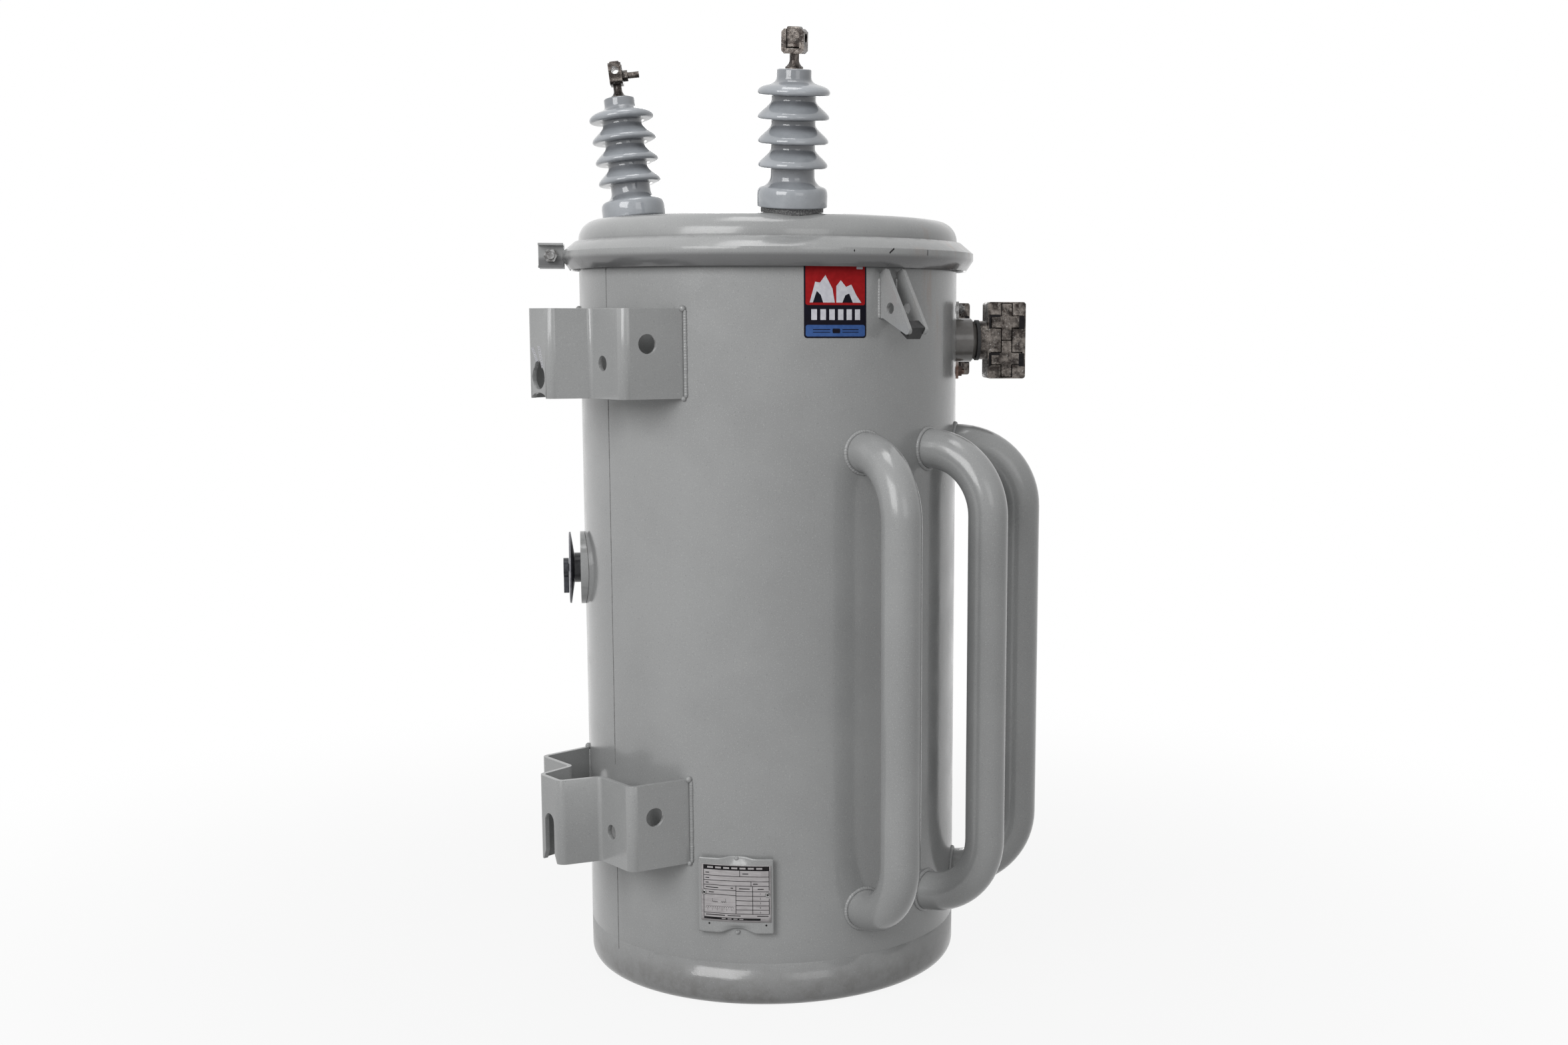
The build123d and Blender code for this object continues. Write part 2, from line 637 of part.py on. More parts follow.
def tap_hub():
    frame = radial(TAP_DIR, TANK_R + TAP_BOSS_T + SEAT, TAP_Z)
    return rod(frame, TAP_HUB_R, TAP_HUB_T) - rod(frame, TAP_SHAFT_R + RUN, 60, -5)


def tap_dial():
    frame = radial(TAP_DIR, TANK_R + TAP_BOSS_T + TAP_HUB_T + 2 * SEAT, TAP_Z)
    return rod(frame, TAP_DIAL_R, TAP_DIAL_T) - rod(frame, TAP_SHAFT_R + RUN, 60, -5)


def tap_handle():
    face = TANK_R + TAP_BOSS_T + TAP_HUB_T + TAP_DIAL_T + 2 * SEAT
    frame = radial(TAP_DIR, face + TAP_AIR, TAP_Z)
    knob = rod(frame, TAP_KNOB_R, TAP_KNOB_T)
    shaft = rod(frame, TAP_SHAFT_R, face + TAP_AIR - (TANK_R - 14) + 1, (TANK_R - 14) - face - TAP_AIR)
    arm = frame * Pos(0, -TAP_ARM_L / 2, TAP_KNOB_T / 2) * Box(TAP_ARM_W, TAP_ARM_L, TAP_KNOB_T)
    return knob + shaft + arm


def main():
    save(tank_shell(), "tank_shell")
    save(tank_bottom(), "tank_bottom")
    save(fill(), "core_and_oil")
    save(tank_cover(), "tank_cover")
    save(cover_gasket(), "cover_gasket")
    save(cover_band(), "cover_band")
    save(band_bolt(), "cover_band_bolt")
    for i, direction in enumerate(HV_DIRS, 1):
        plane = hv_plane(direction)
        top = term_plane(plane, direction)
        save(hv_porcelain(plane), f"hv_bushing_{i}_porcelain")
        save(hv_ring(plane), f"hv_bushing_{i}_foot_ring")
        save(hv_terminal(top), f"hv_bushing_{i}_terminal")
        save(hv_clamp(top), f"hv_bushing_{i}_clamp_bolt")
    for i, direction in enumerate(LV_DIRS, 1):
        save(lv_body(direction), f"lv_bushing_{i}_body")
        save(lv_clamp(direction), f"lv_bushing_{i}_flange")
        save(lv_gasket(direction), f"lv_bushing_{i}_gasket")
        save(lv_connector(direction), f"lv_bushing_{i}_connector")
        save(lv_keepers(direction), f"lv_bushing_{i}_keepers")
    save(bracket(BRK_LOW_Z, False), "lower_hanger_bracket")
    save(bracket(BRK_LOW_Z + BRK_PITCH, True), "upper_hanger_bracket")
    for i, direction in enumerate(LUG_DIRS, 1):
        save(lifting_ears(direction), f"lifting_lug_{i}_ears")
        save(lug_pad(direction), f"lifting_lug_{i}_pad")
    for i, direction in enumerate(TUBE_DIRS, 1):
        save(cooling_tube(direction), f"cooling_tube_{i}")
    save(nameplate_backing(), "nameplate_backing")
    save(nameplate(), "nameplate")
    save(tap_boss(), "tap_changer_boss")
    save(tap_hub(), "tap_changer_hub")
    save(tap_dial(), "tap_changer_dial")
    save(tap_handle(), "tap_changer_handle")


main()
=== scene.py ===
"""Looks of the pole mounted transformer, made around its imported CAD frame. Metres, +Z up."""
import json
import math
import random

import bmesh
import bpy
from mathutils import Matrix, Vector


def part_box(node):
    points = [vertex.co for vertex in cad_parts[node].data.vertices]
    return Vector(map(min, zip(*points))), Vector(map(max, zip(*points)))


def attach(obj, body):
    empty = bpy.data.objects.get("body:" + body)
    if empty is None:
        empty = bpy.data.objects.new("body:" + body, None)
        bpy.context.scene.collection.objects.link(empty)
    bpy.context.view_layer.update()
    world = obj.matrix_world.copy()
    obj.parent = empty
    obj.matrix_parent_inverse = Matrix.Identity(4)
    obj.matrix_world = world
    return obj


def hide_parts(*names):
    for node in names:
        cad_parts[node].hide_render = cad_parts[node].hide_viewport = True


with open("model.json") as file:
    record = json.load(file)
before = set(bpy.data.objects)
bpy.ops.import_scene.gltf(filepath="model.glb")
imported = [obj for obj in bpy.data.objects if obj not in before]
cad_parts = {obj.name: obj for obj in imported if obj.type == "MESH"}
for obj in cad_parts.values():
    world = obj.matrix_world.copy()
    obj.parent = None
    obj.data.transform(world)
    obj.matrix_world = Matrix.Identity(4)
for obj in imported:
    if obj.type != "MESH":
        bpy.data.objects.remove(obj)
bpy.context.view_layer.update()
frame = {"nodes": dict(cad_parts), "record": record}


# ---- sizes and places ----
# Lengths are metres, written as millimetres times MM. Directions are degrees about z, from +x.
MM = 0.001
TANK_R = (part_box("tank_bottom")[1].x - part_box("tank_bottom")[0].x) / 2
RIM_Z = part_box("tank_shell")[1].z
SHEET = 3.0 * MM
BASE_RIM = 60.0 * MM
BASE_ROUND = 19.0 * MM
SEAM_DIR = 179.0
SEAM_SPANS = ((46 * MM, 187 * MM), (298 * MM, 778 * MM), (889 * MM, 940 * MM))
SEAM_LIFT = -0.62 * MM
LUG_DIRS = (270.0, 90.0)
EAR_OFFSET = 13.5 * MM
EAR_HALF = 2.5 * MM
EAR_WELD = (877.0 * MM, 926.5 * MM)
WING_DIRS = (209.1, 150.9)
TUBE_DIRS = (261.2, 287.4, 313.6, 46.4, 72.6, 98.8)
TUBE_R = 25.3 * MM
TUBE_ENDS = (711.5 * MM, 122.5 * MM)
TUBE_REACH = 341.5 * MM
TUBE_BEND = 84.0 * MM
TUBE_SUNK = 5 * MM
HV_DIRS = (118.3, 241.7)
HV_TILT = 7.5
HV_BODY_H = 173.0 * MM
HV_SEAT_DROP = 6.0 * MM
HV_BOLT_R = 4.8 * MM
HV_BOLT_END = 17.7 * MM
HV_BOLT_PITCH = 1.5 * MM
TERM_TURN = 36.5
TERM_SCALE = 0.87
LV_DIRS = (-33.5, 0.0, 33.5)
LV_STUD_Z = (806.0 * MM, 890.0 * MM)
LV_STUD_R = 4.0 * MM
LV_NUT_FACE = 10.5 * MM
LV_STUD_OUT = 3.5 * MM
BAND_DIR = 148.0
BAND_SKIN_R = TANK_R + 22.08 * MM
BAND_BOLT_R = 5.0 * MM
BAND_BOLT_AT = (36.0 * MM, 9.5 * MM)
BAND_BOLT_SPAN = (25.3 * MM, 27.3 * MM)
STUD_PITCH = 1.0 * MM
PLATE_DIR = 223.1
PLATE_Z = 150.5 * MM
PLATE_HALF = 49.25 * MM
LABEL_Z = 154.2 * MM
LABEL_FACE = 8.6 * MM
LABEL_T = 0.95 * MM
DECAL_DIR = 252.45
DECAL_Z = 898.8 * MM
SKIN = 0.25 * MM
TAP_DIR = 149.0
TAP_Z = 543.0 * MM
DIAL_BACK = TANK_R + 14.6 * MM
SAME_LEVEL = 0.05 * MM

# These outlines are in plain millimetres and are scaled where they are used.
DIAL_R = 48.0
DIAL_HUB_R = 20.0
DIAL_DISH = 4.2
DIAL_T = 2.2
DIAL_TEXT_R = 42.4
DIAL_TICK = (35, 38)
SHAFT_HOLE_R = 5.4
# Half outline of the porcelain, (radius, height over its foot), of the shed and of the top shed.
PORC_COLLAR = (
    (0.0, 0.0), (41.6, 0.0), (42.7, 0.5), (43.2, 1.8), (43.3, 14.0), (43.1, 17.0), (42.6, 19.6),
    (41.6, 21.8), (39.9, 23.6), (37.4, 24.8), (34.6, 25.7), (32.2, 27.0), (30.4, 28.6),
    (29.1, 30.2), (28.1, 32.0), (27.4, 34.2), (27.0, 36.6))
PORC_SHED = (
    (26.9, -2.2), (27.2, -1.0), (28.4, -0.25), (31.5, 0.0), (37.2, 0.0), (39.0, 0.25), (40.3, 0.95),
    (41.1, 2.1), (41.2, 3.3), (40.9, 4.7), (40.2, 6.1), (39.2, 7.5), (38.1, 8.8), (36.8, 10.2),
    (35.4, 11.7), (34.0, 13.1), (32.5, 14.6), (31.1, 16.1), (29.7, 17.6), (28.5, 19.1),
    (27.6, 20.6), (27.1, 22.1), (26.9, 23.7))
PORC_TOP_SHED = PORC_SHED[:8] + (
    (41.4, 3.5), (41.3, 5.0), (40.8, 6.4), (39.9, 7.8), (38.5, 9.3), (36.4, 10.8), (33.4, 12.2),
    (29.6, 13.6), (26.2, 14.9), (23.6, 16.3), (22.0, 17.9), (21.3, 19.6), (21.0, 21.6),
    (21.0, 29.0), (20.6, 30.2), (19.6, 30.9), (0.0, 30.9))
SHED_UNDER = (46.9, 75.4, 103.9, 132.4)
SHED_REACH = (42.6, 43.1, 43.7, 43.9)
PORC_CORE_R = 26.9

# Distances from a bushing's axis between which the glaze's painted shade fades out, and reach of a
# crease's painted shade.
SHED_ROOT = (27.5 * MM, 36.0 * MM)
CREASE_REACH = 35.0 * MM
# Zones of the finishes: the place in metres where a mask is 0, then the place where it is 1.
DUST_ZONE = {"Z": (0.80, 0.935), "Y": (-0.02, -0.24), "X": (-0.02, 0.12)}
# Foot of the tank: blotchy grime that also carries painted shade, then an even painted shade.
GRIME_AND_SHADE_ZONE = (0.07, 0.0)
FOOT_SHADE = (0.075, 0.015)
# Painted shade on the cover band's downward-facing underside.
BAND_UNDERSIDE_SHADE = ((0.957, 0.951), (0.936, 0.940))
RUST_ZONE = {"X": (0.16, 0.2), "Z": (0.83, 0.81)}


# ---- materials ----
def linear(value):
    """One sRGB channel, 0 to 255, as scene-linear."""
    c = value / 255
    return c / 12.92 if c <= 0.04045 else ((c + 0.055) / 1.055) ** 2.4


def rgb(r, g, b):
    return (linear(r), linear(g), linear(b), 1.0)


class Finish:
    """A procedural material built from one Principled shader."""

    def __init__(self, name, roughness, metallic=0.0, **sockets):
        self.material = bpy.data.materials.new(name)
        self.material.use_nodes = True
        self.nodes = self.material.node_tree.nodes
        self.links = self.material.node_tree.links
        self.shader = self.nodes["Principled BSDF"]
        self.shader.inputs["Roughness"].default_value = roughness
        self.shader.inputs["Metallic"].default_value = metallic
        self.fill(self.shader, sockets)
        self.place = self.nodes.new("ShaderNodeTexCoord").outputs["Object"]
        self.height = None

    def fill(self, node, constants):
        """Sets a node's sockets, named with _ for a space."""
        for key, value in constants.items():
            node.inputs[key.replace("_", " ")].default_value = value

    def node(self, kind, **constants):
        node = self.nodes.new("ShaderNode" + kind)
        self.fill(node, constants)
        return node

    def feed(self, slot, value):
        """Links another node's output to a socket, or sets the socket to a constant."""
        if hasattr(value, "is_linked"):
            self.links.new(value, slot)
        else:
            slot.default_value = value

    def noise(self, scale, detail=3.0, rough=0.55, stretch=None):
        """Noise, 0 to 1; scale is in cells per metre."""
        node = self.node("TexNoise", Scale=scale, Detail=detail, Roughness=rough)
        place = self.place
        if stretch:
            mapping = self.node("Mapping", Scale=stretch)
            self.links.new(place, mapping.inputs["Vector"])
            place = mapping.outputs["Vector"]
        self.links.new(place, node.inputs["Vector"])
        return node.outputs["Fac"]

    def ramp(self, value, low, high, to_low=0.0, to_high=1.0):
        """Smooth step: to_low where value is low, to_high where it is high."""
        node = self.node("MapRange", From_Min=low, From_Max=high, To_Min=to_low, To_Max=to_high)
        node.interpolation_type = "SMOOTHSTEP"
        self.links.new(value, node.inputs["Value"])
        return node.outputs["Result"]

    def maths(self, kind, a, b):
        node = self.node("Math")
        node.operation = kind
        for slot, value in zip(node.inputs, (a, b)):
            self.feed(slot, value)
        return node.outputs["Value"]

    def vector(self, kind, a, b=None):
        """Vector maths on a, with a constant b where the operation takes two."""
        node = self.node("VectorMath")
        node.operation = kind
        self.links.new(a, node.inputs[0])
        if b is not None:
            node.inputs[1].default_value = b
        return node.outputs["Value" if kind == "LENGTH" else "Vector"]

    def zone(self, letter, none, full):
        """Mask by the place along one axis."""
        node = self.node("SeparateXYZ")
        self.links.new(self.place, node.inputs["Vector"])
        return self.ramp(node.outputs[letter], none, full)

    def mix(self, share, a, b):
        """Colour a where share is 0 and b where it is 1."""
        node = self.node("Mix")
        node.data_type = "RGBA"
        for key, value in (("Factor", share), (6, a), (7, b)):
            self.feed(node.inputs[key], value)
        return node.outputs[2]

    def tint(self, base, mask, share, tone):
        """Base with that share of a tone laid over it where mask is 1."""
        return self.mix(self.maths("MULTIPLY", mask, share), base, tone)

    def colour(self, value):
        self.feed(self.shader.inputs["Base Color"], value)

    def roughness(self, value):
        self.links.new(value, self.shader.inputs["Roughness"])

    def bump(self, value, depth, strength=1.0):
        """Adds relief; depth is in metres."""
        node = self.node("Bump", Distance=depth, Strength=strength)
        self.links.new(value, node.inputs["Height"])
        if self.height is not None:
            self.links.new(self.height, node.inputs["Normal"])
        self.height = node.outputs["Normal"]
        self.links.new(self.height, self.shader.inputs["Normal"])


def paint_finish():
    """Gray enamel: orange peel, specks, rusty dust under the band, grime and painted shade low
    down, painted shade on the band's underside.
    """
    f = Finish("gray_enamel", 0.24, Specular_IOR_Level=0.45, Coat_Weight=0.2, Coat_Roughness=0.05)
    cloud = f.ramp(f.noise(6.0, 4.0), 0.3, 0.7)
    base = f.mix(cloud, rgb(148, 149, 149), rgb(157, 158, 158))
    speck = f.ramp(f.noise(700.0, 2.0, 0.7), 0.56, 0.72)
    base = f.tint(base, speck, 0.30, rgb(200, 201, 202))
    fleck = f.ramp(f.noise(520.0, 2.0, 0.7), 0.60, 0.75)
    base = f.tint(base, fleck, 0.30, rgb(88, 89, 91))
    runs = f.ramp(f.noise(34.0, 4.0, 0.6, stretch=(1.0, 1.0, 0.12)), 0.52, 0.74)
    high, side, east = [f.zone(letter, *DUST_ZONE[letter]) for letter in "ZYX"]
    dust = f.maths("MULTIPLY", f.maths("MULTIPLY", runs, high), f.maths("MULTIPLY", side, east))
    base = f.tint(base, dust, 0.55, rgb(150, 112, 86))
    # Grime and painted shade towards the foot, then an even painted shade there.
    foot = f.zone("Z", *GRIME_AND_SHADE_ZONE)
    grime_and_shade = f.maths("MULTIPLY", foot, f.ramp(f.noise(45.0, 5.0, 0.65), 0.4, 0.68))
    base = f.tint(base, grime_and_shade, 0.5, rgb(96, 93, 88))
    base = f.tint(base, f.zone("Z", *FOOT_SHADE), 0.4, rgb(92, 91, 90))
    # Painted shade on the underside of the cover band.
    top, bottom = [f.zone("Z", *edge) for edge in BAND_UNDERSIDE_SHADE]
    f.colour(f.tint(base, f.maths("MULTIPLY", top, bottom), 0.75, rgb(92, 92, 93)))
    f.roughness(f.ramp(f.noise(14.0, 4.0), 0.3, 0.7, 0.12, 0.28))
    f.bump(f.noise(26.0, 2.0, 0.5), 0.0010, 0.35)
    f.bump(f.noise(260.0, 2.0, 0.5), 0.0004, 0.30)
    f.bump(f.noise(900.0, 2.0, 0.6), 0.0001, 0.4)
    return f.material


def axis_gap(f, bushing):
    """Distance of a point from the axis of a high-voltage bushing."""
    away = f.vector("SUBTRACT", f.place, hv_frame(bushing).translation)
    return f.vector("LENGTH", f.vector("CROSS_PRODUCT", away, hv_up(bushing)))


def porcelain_finish():
    """Speckled gray glaze with painted shade: darker near the bushing's core and darkest in its
    creases.
    """
    f = Finish("gray_glaze", 0.10, Coat_Weight=0.4, Coat_Roughness=0.04)
    cloud = f.ramp(f.noise(30.0, 3.0), 0.35, 0.7)
    base = f.mix(cloud, rgb(152, 156, 161), rgb(166, 170, 175))
    speck = f.ramp(f.noise(900.0, 2.0, 0.7), 0.60, 0.75)
    base = f.tint(base, speck, 0.35, rgb(84, 87, 92))
    # Painted shade: darker near the core, where the sheds shade it, and darker still in the creases
    # found by ambient occlusion.
    crease = f.node("AmbientOcclusion", Distance=CREASE_REACH)
    crease.samples = 8
    crease_shade = f.ramp(crease.outputs["AO"], 0.3, 0.7, 1.0, 0.0)
    near = f.ramp(f.maths("MINIMUM", axis_gap(f, 1), axis_gap(f, 2)), *SHED_ROOT, 1.0, 0.0)
    base = f.tint(base, near, 0.35, rgb(58, 58, 62))
    f.colour(f.tint(base, f.maths("MULTIPLY", near, crease_shade), 0.6, rgb(58, 58, 62)))
    f.bump(f.noise(120.0, 2.0), 0.0005, 0.25)
    return f.material


def tinned_finish():
    """Tinned bronze, stained dark and worn bright in patches."""
    f = Finish("tinned_bronze", 0.30, 0.9)
    patch = f.ramp(f.noise(75.0, 5.0, 0.65), 0.38, 0.66)
    base = f.mix(patch, rgb(46, 42, 40), rgb(118, 112, 107))
    stain = f.ramp(f.noise(190.0, 4.0, 0.7), 0.50, 0.70)
    base = f.tint(base, stain, 0.65, rgb(44, 34, 30))
    worn = f.ramp(f.noise(330.0, 3.0, 0.6), 0.60, 0.74)
    f.colour(f.tint(base, worn, 0.5, rgb(190, 187, 184)))
    f.roughness(f.ramp(f.noise(140.0, 3.0), 0.3, 0.7, 0.22, 0.5))
    f.bump(f.noise(300.0, 4.0, 0.65), 0.0010, 0.6)
    return f.material


def ring_finish():
    f = Finish("dark_gasket_paint", 0.55)
    speck = f.ramp(f.noise(600.0, 3.0, 0.7), 0.45, 0.66)
    f.colour(f.tint(rgb(62, 62, 63), speck, 0.7, rgb(140, 140, 139)))
    f.bump(f.noise(500.0, 2.0), 0.0006, 0.6)
    return f.material


def steel_finish():
    """Zinc-plated hardware; the lower studs of the low-voltage side are rusty."""
    f = Finish("plated_steel", 0.34, 0.85)
    patch = f.ramp(f.noise(140.0, 4.0, 0.65), 0.35, 0.7)
    base = f.mix(patch, rgb(92, 91, 90), rgb(164, 164, 164))
    out, low = [f.zone(letter, *RUST_ZONE[letter]) for letter in "XZ"]
    f.colour(f.tint(base, f.maths("MULTIPLY", out, low), 0.75, rgb(84, 56, 42)))
    f.roughness(f.ramp(f.noise(200.0, 3.0), 0.3, 0.7, 0.26, 0.5))
    f.bump(f.noise(900.0, 2.0), 0.0002, 0.4)
    return f.material


def label_finish():
    """Aluminium brushed along the wall, smudged in places."""
    f = Finish("brushed_aluminium", 0.45, 0.25)
    along = (0.06, 0.06, 1.0)
    brush = f.ramp(f.noise(900.0, 3.0, 0.6, stretch=along), 0.3, 0.7)
    base = f.mix(brush, rgb(158, 154, 155), rgb(180, 177, 178))
    smudge = f.ramp(f.noise(70.0, 4.0, 0.6), 0.5, 0.75)
    f.colour(f.tint(base, smudge, 0.3, rgb(130, 126, 126)))
    f.bump(f.noise(1200.0, 2.0, 0.6, stretch=along), 0.00005, 0.4)
    return f.material


def mottled_finish(name, dark, light, roughness, cells, grain, depth, strength, **sockets):
    """Two close tones in soft cells, under a fine grain; cells and grain are per metre."""
    scale, detail = cells
    f = Finish(name, roughness, **sockets)
    f.colour(f.mix(f.ramp(f.noise(scale, detail), 0.3, 0.7), rgb(*dark), rgb(*light)))
    f.bump(f.noise(grain, 2.0), depth, strength)
    return f.material


def plain_finish(name, dark, light, roughness):
    """Dull flat colour with slight mottling."""
    return mottled_finish(name, dark, light, roughness, (150.0, 3.0), 700.0, 0.00005, 0.3,
                          Specular_IOR_Level=0.12)


# ---- places and pieces ----
def spread(start, length, steps):
    """Evenly spaced numbers from start over length, both ends included."""
    return [start + length * i / steps for i in range(steps + 1)]


def arc(cx, cy, radius, start, turn, steps):
    """Points (x, y, angle) along a circular arc; angles are in degrees."""
    points = []
    for angle in spread(start, turn, steps):
        a = math.radians(angle)
        points.append((cx + radius * math.cos(a), cy + radius * math.sin(a), angle))
    return points


def scaled(outline):
    """Outline in metres from one in millimetres."""
    return [(r * MM, z * MM) for r, z in outline]


def heading(direction):
    """Level unit vector in a direction."""
    a = math.radians(direction)
    return Vector((math.cos(a), math.sin(a), 0.0))


def polar(a, r, z):
    """Point at an angle in radians about the tank's axis."""
    return Vector((r * math.cos(a), r * math.sin(a), z))


def on_wall(direction, z, lift=0.0):
    return polar(math.radians(direction), TANK_R + lift, z)


def radial(direction, r, z):
    """Matrix with x along the tangent, y up and z outward."""
    out = heading(direction)
    across = Vector((-out.y, out.x, 0.0))
    m = Matrix((across, Vector((0.0, 0.0, 1.0)), out)).transposed().to_4x4()
    m.translation = out * r + Vector((0.0, 0.0, z))
    return m


def add(name, bm, slot, finish=None, body="tank", smooth=True):
    """Turns a bmesh into a piece on a body, with its slot's finish unless another is named."""
    bmesh.ops.recalc_face_normals(bm, faces=bm.faces)
    mesh = bpy.data.meshes.new(name)
    bm.to_mesh(mesh)
    bm.free()
    for face in mesh.polygons:
        face.use_smooth = smooth
    mesh.materials.append(FINISHES[finish or slot])
    piece = bpy.data.objects.new(name, mesh)
    bpy.context.scene.collection.objects.link(piece)
    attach(piece, body)
    return piece


def skin_rings(bm, rings, closed=False):
    """Quads between successive rings of points, with the two ends capped or joined."""
    pairs = list(zip(rings, rings[1:]))
    if closed:
        pairs.append((rings[-1], rings[0]))
    sides = len(rings[0])
    for first, second in pairs:
        for j in range(sides):
            n = (j + 1) % sides
            bm.faces.new((first[j], first[n], second[n], second[j]))
    if not closed:
        bm.faces.new(rings[0][::-1])
        bm.faces.new(rings[-1])


def lathe(bm, where, profile, seg=40):
    """Turned form: profile is (radius, z) from the axis outward and back to the axis."""
    rows = []
    for r, z in profile:
        row = []
        for i in range(1 if r == 0 else seg):
            t = math.tau * i / seg
            row.append(bm.verts.new(where @ Vector((r * math.cos(t), r * math.sin(t), z))))
        rows.append(row)
    for first, second in zip(rows, rows[1:]):
        for i in range(seg):
            n = (i + 1) % seg
            a, b = first[i % len(first)], first[n % len(first)]
            c, d = second[n % len(second)], second[i % len(second)]
            corners = list(dict.fromkeys((a, b, c, d)))
            if len(corners) > 2:
                bm.faces.new(corners)


# ---- welds ----
BEAD_SIDES = 8
BEAD_STEP = 1.1 * MM
BEAD_PITCH = 3.4 * MM
BEAD_RIPPLE = 0.11
BEAD_SWELL = 0.22
BEAD_TAPER = 2.5 * MM


def bead(bm, points, outward, radius, dice, closed=False):
    """One rippled weld bead along points, half sunk in the surface it lies on."""
    loop = points + [points[0]] if closed else points
    lengths = [0.0]
    for p, q in zip(loop, loop[1:]):
        lengths.append(lengths[-1] + (q - p).length)
    count = max(4, int(lengths[-1] / BEAD_STEP))
    rings = []
    k = 0
    swell = 1.0
    for i in range(count + (0 if closed else 1)):
        s = lengths[-1] * i / count
        while k < len(lengths) - 2 and lengths[k + 1] < s:
            k += 1
        share = (s - lengths[k]) / max(lengths[k + 1] - lengths[k], 1e-9)
        p = loop[k].lerp(loop[k + 1], share)
        along = (loop[k + 1] - loop[k]).normalized()
        aim = outward[k % len(outward)]
        up = (aim - along * aim.dot(along)).normalized()
        across = along.cross(up)
        swell += (1.0 + dice.uniform(-BEAD_SWELL, BEAD_SWELL) - swell) * 0.3
        end = 1.0 if closed else min(1.0, 0.35 + min(s, lengths[-1] - s) / BEAD_TAPER)
        ripple = 1.0 + BEAD_RIPPLE * math.sin(math.tau * s / BEAD_PITCH)
        r = radius * swell * ripple * end
        ring = []
        for j in range(BEAD_SIDES):
            t = math.tau * j / BEAD_SIDES
            ring.append(bm.verts.new(p + (up * math.cos(t) + across * math.sin(t)) * r))
        rings.append(ring)
    skin_rings(bm, rings, closed)


def blob(bm, place, radius, dice):
    """Rough lump of weld metal."""
    made = bmesh.ops.create_icosphere(bm, subdivisions=3, radius=radius)
    for v in made["verts"]:
        v.co *= 1.0 + dice.uniform(-0.05, 0.05)
        v.co += place


def upright_bead(bm, direction, z0, z1, radius, dice, lift=0.0, steps=12):
    points = [on_wall(direction, z, lift) for z in spread(z0, z1 - z0, steps)]
    bead(bm, points, [heading(direction)], radius, dice)


def bracket_welds():
    """A fillet outside and inside each wing, and a lump at each of its ends."""
    fillets = ((0.35, 1 * MM, 2.6 * MM), (-1.7, 3 * MM, 2.4 * MM))
    dice = random.Random(11)
    bm = bmesh.new()
    for node in ("lower_hanger_bracket", "upper_hanger_bracket"):
        low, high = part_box(node)
        for direction, side in zip(WING_DIRS, (1, -1)):
            for turn, inset, radius in fillets:
                where = direction + turn * side
                upright_bead(bm, where, low.z + inset, high.z - inset, radius, dice)
            for z, lift, radius in ((high.z, 1.2 * MM, 4.2 * MM), (low.z, 0.6 * MM, 3.2 * MM)):
                blob(bm, on_wall(direction - 0.3 * side, z, lift), radius, dice)
    add("bracket_welds", bm, "tank_paint")


def lug_welds():
    toe, radius, lift = 0.9 * MM, 2.3 * MM, 0.3 * MM
    dice = random.Random(12)
    bm = bmesh.new()
    for direction in LUG_DIRS:
        for ear in (-1, 1):
            for face in (-1, 1):
                shift = (ear * EAR_OFFSET + face * (EAR_HALF + toe)) / TANK_R
                where = direction + math.degrees(shift)
                upright_bead(bm, where, EAR_WELD[0], EAR_WELD[1], radius, dice, lift)
    add("lifting_lug_welds", bm, "tank_paint")


def tube_welds():
    """A ring of weld round each end of the cooling tubes, laid on the wall's curve."""
    r, lift, radius, steps = TUBE_R + 0.8 * MM, 0.6 * MM, 2.8 * MM, 72
    dice = random.Random(13)
    bm = bmesh.new()
    for direction in TUBE_DIRS:
        for z in TUBE_ENDS:
            frame_here = radial(direction, 0.0, z)
            points, outward = [], []
            for i in range(steps):
                t = math.tau * i / steps
                x, y = r * math.cos(t), r * math.sin(t)
                depth = math.sqrt((TANK_R + lift) ** 2 - x * x)
                points.append(frame_here @ Vector((x, y, depth)))
                aim = Vector((math.cos(t), math.sin(t), 1.0))
                outward.append((frame_here.to_3x3() @ aim).normalized())
            bead(bm, points, outward, radius, dice, closed=True)
    add("cooling_tube_welds", bm, "tank_paint")


def seam_weld():
    """Long seam of the rolled shell, ground nearly flush, between the two brackets."""
    dice = random.Random(14)
    bm = bmesh.new()
    for z0, z1 in SEAM_SPANS:
        upright_bead(bm, SEAM_DIR, z0, z1, 1.0 * MM, dice, SEAM_LIFT, steps=60)
    add("shell_seam", bm, "tank_paint", "seam_shade")


def plate_welds():
    """Two lumps at the middle of the backing's upper and lower edge."""
    dice = random.Random(15)
    bm = bmesh.new()
    for side, size in ((1, 3.4), (-1, 2.6)):
        here = on_wall(PLATE_DIR, PLATE_Z + side * (PLATE_HALF - 0.5 * MM), 1.0 * MM)
        blob(bm, here, size * MM, dice)
        blob(bm, here + Vector((1.6, -1.2, 0.8)) * MM, 0.7 * size * MM, dice)
    add("nameplate_welds", bm, "tank_paint")


# ---- high-voltage bushings ----
def hv_up(bushing):
    """Axis of a high-voltage bushing, which leans outward."""
    a, b = math.radians(HV_DIRS[bushing - 1]), math.radians(HV_TILT)
    return Vector((math.cos(a) * math.sin(b), math.sin(a) * math.sin(b), math.cos(b)))


